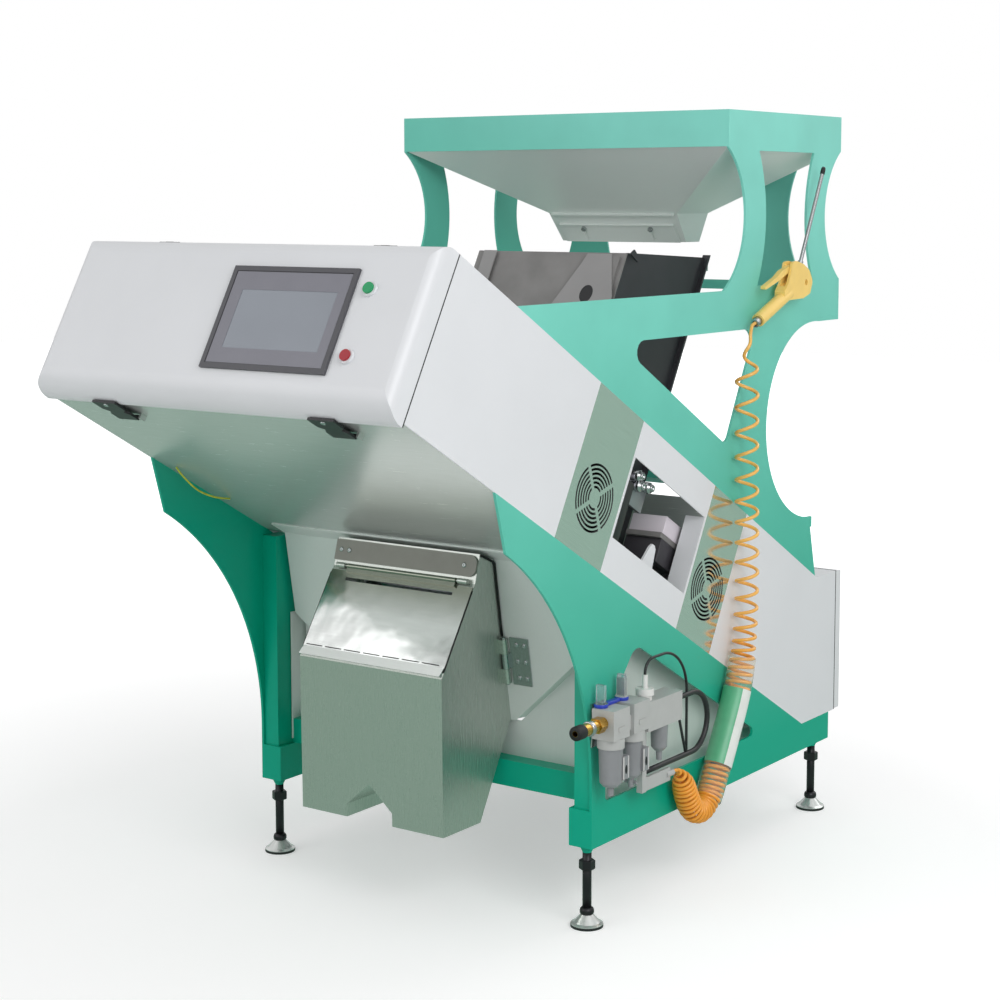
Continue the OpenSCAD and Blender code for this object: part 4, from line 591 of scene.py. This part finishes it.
# air unit: ring and bush on the inlet, blue slide and base rings, second tab
airUnit = dict(inlet=(490, -22, 447), knob=(474, -4, 474), lock=(474, 73, 474), sides=32,
    ring=[(13.05, 44), (15.2, 44.6), (15.6, 46), (15.6, 53), (15.2, 54.4), (13.05, 55)],
    bush=[(13.05, 74), (14.2, 74.6), (14.6, 76), (14.6, 98), (13.8, 100.2), (6.3, 100.2)],
    baseRing=[(14.02, 0.3), (14.5, 0.8), (14.5, 7.2), (14.02, 7.7)],
    slide=((467, 11, 474), (481, 58, 481), 2), tab=((463.6, 68.6, 482), (484.4, 77.4, 528.4), 3))
south, upright = (0, -1, 0), (0, 0, 1)
for name, profile, root, way, finish, body, slot in (
        ("inletRing", "ring", "inlet", south, "turnedSteel", "frame", "machined_steel"),
        ("inletBush", "bush", "inlet", south, "rubber", "frame", "black_plastic"),
        ("knobRing", "baseRing", "knob", upright, "blueAbs", "regulator_knob", "knob_plastic"),
        ("lockRing", "baseRing", "lock", upright, "blueAbs", "frame", "knob_plastic")):
    piece = turned(name, airUnit[profile], [airUnit[root]], way, airUnit["sides"])
    dress(piece, finish, body)
dress(softBox("blueSlide", *airUnit["slide"]), "blueAbs", "frame")
dress(softBox("lockTab", *airUnit["tab"]), "knobPlastic", "frame")
print("sorter: air unit and gun dressed")

# what shows in the bay: low and high corner as x, s, t, rounding, finish and slot of each box
bay = {
    "bayHousing": ((402, -329, 742), (436, -286, 874), 3, "blackPlastic", "black_plastic"),
    "bayPlate": ((396, -285, 846), (404, -186, 912), 1.5, "anodised", "aluminium"),
    "bayShelf": ((305, -62, 851), (392, 94.8, 890), 1.5, "paleShelf", "aluminium"),
    "bayRail": ((302, -66, 839), (392, 94.8, 851), 1.5, "greyPaint", "grey_paint"),
    "bayBlock": ((300, -58, 786), (392, 30, 839), 2, "blackPaint", "black_paint"),
}
for name, (low, high, edge, finish, slot) in bay.items():
    dress(softBox(name, low, high, edge, onTilt), finish, "frame")
# hollow fittings on the plate, and a bracket that narrows upward
fittings = dict(spots=[(404, -262, 902), (404, -250, 884), (400, -208, 897)],
    profile=[(0, 0), (10, 0), (10, 12), (12.5, 13), (12.5, 22), (11.5, 24), (8, 24), (8, 30), (7, 31.5),
        (3.2, 31.5), (3.2, 26), (0, 26)])
piece = turned("bayFittings", fittings["profile"], [tilted(*p) for p in fittings["spots"]], (1, 0, 0), 24)
dress(piece, "turnedSteel", "frame")
bracket = dict(x=(426, 431),
    outline=[(-176, 737), (-124, 737), (-133, 788), (-140, 794), (-150, 794), (-157, 786)])
piece = flatPlate("bayBracket", bracket["outline"], *bracket["x"], onSide)
dress(piece, "whitePaint", "frame")
print("sorter: bay fitted")

# tubes of the air unit, as y and z: thick loop, thin arc from the gauge, slanted tube inside the loop
tubes = dict(x=490, bendSteps=24, straightSteps=6, thick=6, thin=3)


def bend(centre, radius, start, end):
    # arc from one angle to another: centre + radius (cos, sin)
    a = np.radians(np.linspace(start, end, tubes["bendSteps"]))
    y, z = centre[0] + radius * np.cos(a), centre[1] + radius * np.sin(a)
    return np.stack([np.full_like(a, tubes["x"]), y, z], axis=1)


def straight(a, b):
    # evenly spaced points from a to b
    return np.linspace((tubes["x"], *a), (tubes["x"], *b), tubes["straightSteps"])


loop = [straight((250, 440), (325, 440)), bend((330, 375), 65, 90, -90), straight((325, 310), (134, 310))]
arc = [bend((167, 516), 30, 180, 90), straight((172, 546), (204, 546)), bend((209, 448), 98, 90, 0),
    straight((307, 440), (307, 312))]
thickTube = wire("thickTube", np.concatenate(loop), tubes["thick"], 16)
dress(thickTube, "blackPlastic", "frame")
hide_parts("frl_tubes")
dress(wire("thinTube", np.concatenate(arc), tubes["thin"], 12), "blackPlastic", "frame")
slant = wire("slantTube", straight((262, 436), (303, 316)), tubes["thin"], 12)
dress(slant, "blackPlastic", "frame")

# dark ovals in the sights of the bowls and the pale rims beside them
sight = dict(x=516.1, dome=0.6, z=346, wide=4.2, high=9.5, y=(25.5, 102.5),
    rimX=514.2, rimZ=327, rimY=(15.4, 33.4, 92.4, 110.4), rimSize=(2.4, 2.2, 46), rimEdge=0.8)
# slightly domed oval: y = wide r cos u, z = high r sin u, x = dome (1 - r r)
r, u = np.meshgrid(np.linspace(0, 1, 5), fullTurn(24), indexing="ij")
domed = sight["x"] + sight["dome"] * (1 - r ** 2)
level, upward = sight["wide"] * r * np.cos(u), sight["z"] + sight["high"] * r * np.sin(u)
ovals = [np.stack([domed, y + level, upward], axis=-1) for y in sight["y"]]
dress(surface("sightOvals", place(np.array(ovals)), closeV=True), "rubber", "frame")
rims = np.array([(sight["rimX"], y, sight["rimZ"]) for y in sight["rimY"]])
piece = softBox("sightRims", rims, rims + sight["rimSize"], sight["rimEdge"])
dress(piece, "gaugePlastic", "frame")

# skirt that carries the sides of the base down behind the frame, and the plate beside the outlet
skirt = dict(low=[(399.4, 96, 222), (-402, 96, 222), (-402, 48, 262)],
    high=[(402, 838, 262), (-399.4, 838, 262), (-399.4, 112, 556)], edge=0.8)
dress(softBox("baseSkirt", skirt["low"], skirt["high"], skirt["edge"]), "sheetMatt", "frame")
print("sorter: tubes and base made")

# chute front: light flange at the left, bracket with a hole drawn as a dark disc of painted shade, ear on the
# black side
chute = dict(flange=[(-184, 1440), (-148, 1440), (-148, 1150), (-184, 1150)], flangeLevels=(-236, -239),
    hood=[(44, 1290), (98, 1409), (108, 1436), (172, 1436), (205, 1330), (205, 1180), (44, 1180)],
    hoodLevels=(-236.2, -239), hole=(136, 1334), holeSize=(17, 22), holeLevels=(-238.5, -239.2),
    ear=[(-232, 1440), (-222, 1456), (-208, 1452), (-196, 1438)], earLevels=(214, 218.5))
flange = flatPlate("chuteFlange", chute["flange"], *chute["flangeLevels"], onFront)
dress(flange, "lightGrey", "frame")
hood = flatPlate("chuteBracket", chute["hood"], *chute["hoodLevels"], onFront)
dress(hood, "lightGrey", "frame")
# oval hole, a dark disc of painted shade where the opening shows dark: centre + size (cos a, sin a)
a = fullTurn(24)
oval = np.stack([np.cos(a), np.sin(a)], axis=1) * chute["holeSize"] + chute["hole"]
hole = flatPlate("bracketHoleShade", oval, *chute["holeLevels"], onFront)
dress(hole, "rubber", "frame")
ear = flatPlate("chuteEar", chute["ear"], *chute["earLevels"], onSide)
dress(ear, "blackPaint", "frame")

# outlet: dull face of the strip, bright lip of the lid (a painted highlight) with short lines above it,
# rubber seals
strip = dict(left=-189.5, foot=13.5, head=58.5, endX=171, endUp=36, endFlat=4, endRound=18.5,
    levels=(0.4, 4.4))
lid = dict(lip=[(-188, 0.02), (-188, 0.98), (188, 0.98), (188, 0.02)], lipLevels=(-0.2, 0.4),
    lipOut=(2.8, 6.5), lipUp=(-187.9, -22), lipWay=(0.96, 0.28),
    dashes=range(-182, 150, 52), dashSize=(44, 0.5, 2.2), dashOut=2.6, dashUp=-185.6, dashEdge=0.2)
rim = dict(x=192, lip=[(-27, 757.5), (16, 738)], down=(12, 60, 120, 170), proud=3.2, radius=2.2,
    lidX=190.2, lidOut=1.0, lidUp=(-198, -16), lidRadius=1.5)


def onStrip(level, ring):
    # outline of x and up on the strip, the level out from it
    return sloped(outlet["hinge"], outlet["stripAngle"], ring[:, 0], level, ring[:, 1]).T


def onLip(level, ring):
    # along the folded lip at the lower edge of the lid: out and up grow with the share down the lip
    out = lid["lipOut"][0] + lid["lipOut"][1] * ring[:, 1] + lid["lipWay"][0] * level
    up = lid["lipUp"][0] + lid["lipUp"][1] * ring[:, 1] + lid["lipWay"][1] * level
    return sloped(outlet["hinge"], outlet["lidAngle"], ring[:, 0], out, up).T


def onLid(grid):
    # a grid of x, out and up laid on the lid
    laid = sloped(outlet["hinge"], outlet["lidAngle"], grid[..., 0], grid[..., 1], grid[..., 2])
    return np.moveaxis(laid, 0, -1)


# the strip's right end is round: centre + radius (cos a, sin a), with a short flat between the halves
a = np.linspace(-math.pi / 2, math.pi / 2, 13)
flat = np.where(a > 0, strip["endFlat"], -strip["endFlat"])
roundX = strip["endX"] + strip["endRound"] * np.cos(a)
roundUp = strip["endUp"] + flat + strip["endRound"] * np.sin(a)
outline = [(strip["left"], strip["head"]), (strip["left"], strip["foot"]), *zip(roundX, roundUp)]
face = flatPlate("stripFace", outline, *strip["levels"], onStrip)
dress(face, "stripSteel", "outlet_box")
lip = flatPlate("lidLip", lid["lip"], *lid["lipLevels"], onLip)
dress(lip, "lipHighlight", "outlet_lid")
dashes = np.array([(x, lid["dashOut"], lid["dashUp"]) for x in lid["dashes"]])
lines = softBox("lidLines", dashes, dashes + lid["dashSize"], lid["dashEdge"], onLid)
dress(lines, "rubber", "outlet_lid")
wallY, wallZ = outlet["wallTop"]
edge = rim["lip"] + [(wallY + outlet["wallFall"] * k - rim["proud"], wallZ - k) for k in rim["down"]]
outletSeal = wire("outletSeal", [(rim["x"], y, z) for y, z in edge], rim["radius"], 10)
dress(outletSeal, "rubber", "outlet_box")
for side, name in ((-1, "lidSealLeft"), (1, "lidSealRight")):
    edge = [sloped(outlet["hinge"], outlet["lidAngle"], side * rim["lidX"], rim["lidOut"], up)
        for up in np.linspace(*rim["lidUp"], 8)]
    dress(wire(name, edge, rim["lidRadius"], 8), "rubber", "outlet_box")
print("sorter: outlet dressed")

# feet: screws with a lock nut near the top, bosses under the frame, ferrules and rubber rings on the pads
foot = dict(spots=[(x, y, 0) for x in (-422, 422) for y in (26, 1026)], stem=9.5, padTop=26.1, top=172.9,
    nutLow=121, nutHigh=141, nutWide=17, nutEdge=1.5, bossLow=157, bossWide=17)
stem, pad, top = foot["stem"], foot["padTop"], foot["top"]
low, high, wide, edge = foot["nutLow"], foot["nutHigh"], foot["nutWide"], foot["nutEdge"]
footProfiles = {
    "levelScrews": [(0, pad), (stem, pad), (stem, top), (0, top)],
    "lockNuts": [(stem, low), (wide - edge, low), (wide, low + edge),
        (wide, high - edge), (wide - edge, high), (stem, high)],
    "padFerrules": [(stem, pad), (13, pad), (15, 29), (15, 34), (14, 38), (11, 41), (stem, 41)],
    "footBosses": [(stem, foot["bossLow"]), (foot["bossWide"], top), (0, top)],
    "padRings": [(33.2, 0.1), (34.3, 0.5), (34.3, 5.5), (33.9, 6)],
}
for name, sides, smooth, finish, slot in (
        ("levelScrews", 24, True, "blackOxide", "black_oxide"),
        ("lockNuts", 6, False, "blackOxide", "black_oxide"),
        ("padFerrules", 24, True, "blackOxide", "black_oxide"),
        ("footBosses", 24, True, "tealPaint", "teal_paint"),
        ("padRings", 32, True, "rubber", "black_plastic")):
    piece = turned(name, footProfiles[name], foot["spots"], upright, sides, smooth)
    dress(piece, finish, "frame")
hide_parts("foot_stems")
print("sorter: feet made")

# earth wire under the left edge of the sorting body, its route as x, s, t
earth = dict(tube=4.0, points=60, route=[(-408, -716, 657.5), (-406, -690, 648), (-402, -640, 638),
    (-398, -590, 643), (-396, -545, 657.5)])
path = smoothPath([tilted(*p) for p in earth["route"]], earth["points"])[0]
cordCurve("earthWire", place(path), earth["tube"], "earthSheath")

# studio: pale floor, soft lamps, white surroundings, lengths in metres
studio = dict(floor="#e8e8e8", floorSize=14.0, lift=0.35, liftFrom=1.2, liftTo=4.5, sky=0.5,
    hallFloor="#9bbbab", hallLow=0.5, hallFrom=-0.1, hallTo=0.5,
    patchScale=3.0, patchFrom=0.35, patchTo=0.65, patchLow=0.75, patchHigh=1.1)
white = (1, 1, 1, 1)


def seenRays(tree):
    # what kind of ray arrives, and whether the eye sends it, straight or through glass
    rays = addNode(tree, "ShaderNodeLightPath").outputs
    eye = {0: rays["Is Camera Ray"], 1: rays["Is Transmission Ray"]}
    return rays, addNode(tree, "ShaderNodeMath", {"operation": "MAXIMUM"}, eye).outputs[0]


floorGrid = np.array([[(-1, 1, 0), (1, 1, 0)], [(-1, -1, 0), (1, -1, 0)]]) * studio["floorSize"]
floor = surface("studioFloor", floorGrid, smooth=False)
floorPaint = bpy.data.materials.new("paleStudioFloor")
floorPaint.use_nodes = True
tree = floorPaint.node_tree
tree.nodes.clear()
# the eye sees the floor lifted to white, more with distance, and the shadow stays
# steel mirrors a green hall floor instead
rays, seen = seenRays(tree)
spot = addNode(tree, "ShaderNodeTexCoord")
away = addNode(tree, "ShaderNodeVectorMath", {"operation": "LENGTH"}, {0: spot.outputs["Object"]})
limits = {"From Min": studio["liftFrom"], "From Max": studio["liftTo"],
    "To Min": studio["lift"], "To Max": 1.0}
lift = addNode(tree, "ShaderNodeMapRange", limits, {"Value": away.outputs["Value"]})
shown = addNode(tree, "ShaderNodeMath", {"operation": "MULTIPLY"}, {0: seen, 1: lift.outputs["Result"]})
matt = addNode(tree, "ShaderNodeBsdfDiffuse", {"Color": tone(studio["floor"])})
glow = addNode(tree, "ShaderNodeEmission", {"Color": white}, {"Strength": shown.outputs[0]})
both = addNode(tree, "ShaderNodeAddShader", links={0: matt.outputs[0], 1: glow.outputs[0]})
hall = addNode(tree, "ShaderNodeEmission", {"Color": tone(studio["hallFloor"]), "Strength": 1.0})
parts = {"Fac": rays["Is Glossy Ray"], 1: both.outputs[0], 2: hall.outputs[0]}
mix = addNode(tree, "ShaderNodeMixShader", links=parts)
addNode(tree, "ShaderNodeOutputMaterial", links={"Surface": mix.outputs[0]})
floor.data.materials.append(floorPaint)

world = bpy.data.worlds.new("softStudio")
scene.world = world
world.use_nodes = True
tree = world.node_tree
tree.nodes.clear()
rays, seen = seenRays(tree)
lit = addNode(tree, "ShaderNodeBackground", {"Color": white, "Strength": studio["sky"]})
plain = addNode(tree, "ShaderNodeBackground", {"Color": white, "Strength": 1.0})
# what steel mirrors: a hall that brightens upward, with soft patches like lit windows
ways = addNode(tree, "ShaderNodeTexCoord").outputs["Generated"]
upward = addNode(tree, "ShaderNodeSeparateXYZ", links={"Vector": ways})
limits = {"From Min": studio["hallFrom"], "From Max": studio["hallTo"],
    "To Min": studio["hallLow"], "To Max": 1.0}
rise = addNode(tree, "ShaderNodeMapRange", limits, {"Value": upward.outputs["Z"]})
patches = addNode(tree, "ShaderNodeTexNoise", {"Scale": studio["patchScale"], "Detail": 1}, {"Vector": ways})
limits = {"From Min": studio["patchFrom"], "From Max": studio["patchTo"],
    "To Min": studio["patchLow"], "To Max": studio["patchHigh"]}
patch = addNode(tree, "ShaderNodeMapRange", limits, {"Value": patches.outputs["Fac"]})
product = {0: rise.outputs["Result"], 1: patch.outputs["Result"]}
shine = addNode(tree, "ShaderNodeMath", {"operation": "MULTIPLY"}, product)
hall = addNode(tree, "ShaderNodeBackground", {"Color": white}, {"Strength": shine.outputs[0]})
parts = {"Fac": rays["Is Glossy Ray"], 1: lit.outputs[0], 2: hall.outputs[0]}
mirrored = addNode(tree, "ShaderNodeMixShader", links=parts)
mix = addNode(tree, "ShaderNodeMixShader", links={"Fac": seen, 1: mirrored.outputs[0], 2: plain.outputs[0]})
addNode(tree, "ShaderNodeOutputWorld", links={"Surface": mix.outputs[0]})

lamps = {
    "keyLamp": dict(place=(3600, -1600, 2600), aim=(0, 300, 800), size=2.4, power=75),
    "fillLamp": dict(place=(-1800, -3400, 2200), aim=(0, 200, 800), size=2.8, power=29),
    "rearLamp": dict(place=(1200, 3600, 3000), aim=(0, 600, 900), size=2.4, power=30),
}
for name, spec in lamps.items():
    data = bpy.data.lights.new(name, "AREA")
    data.size = spec["size"]
    data.energy = spec["power"]
    lamp = bpy.data.objects.new(name, data)
    lamp.location = place(spec["place"])
    toward = Vector(place(spec["aim"]) - place(spec["place"]))
    lamp.rotation_euler = toward.to_track_quat("-Z", "Y").to_euler()
    scene.collection.objects.link(lamp)
print("sorter: studio lit")
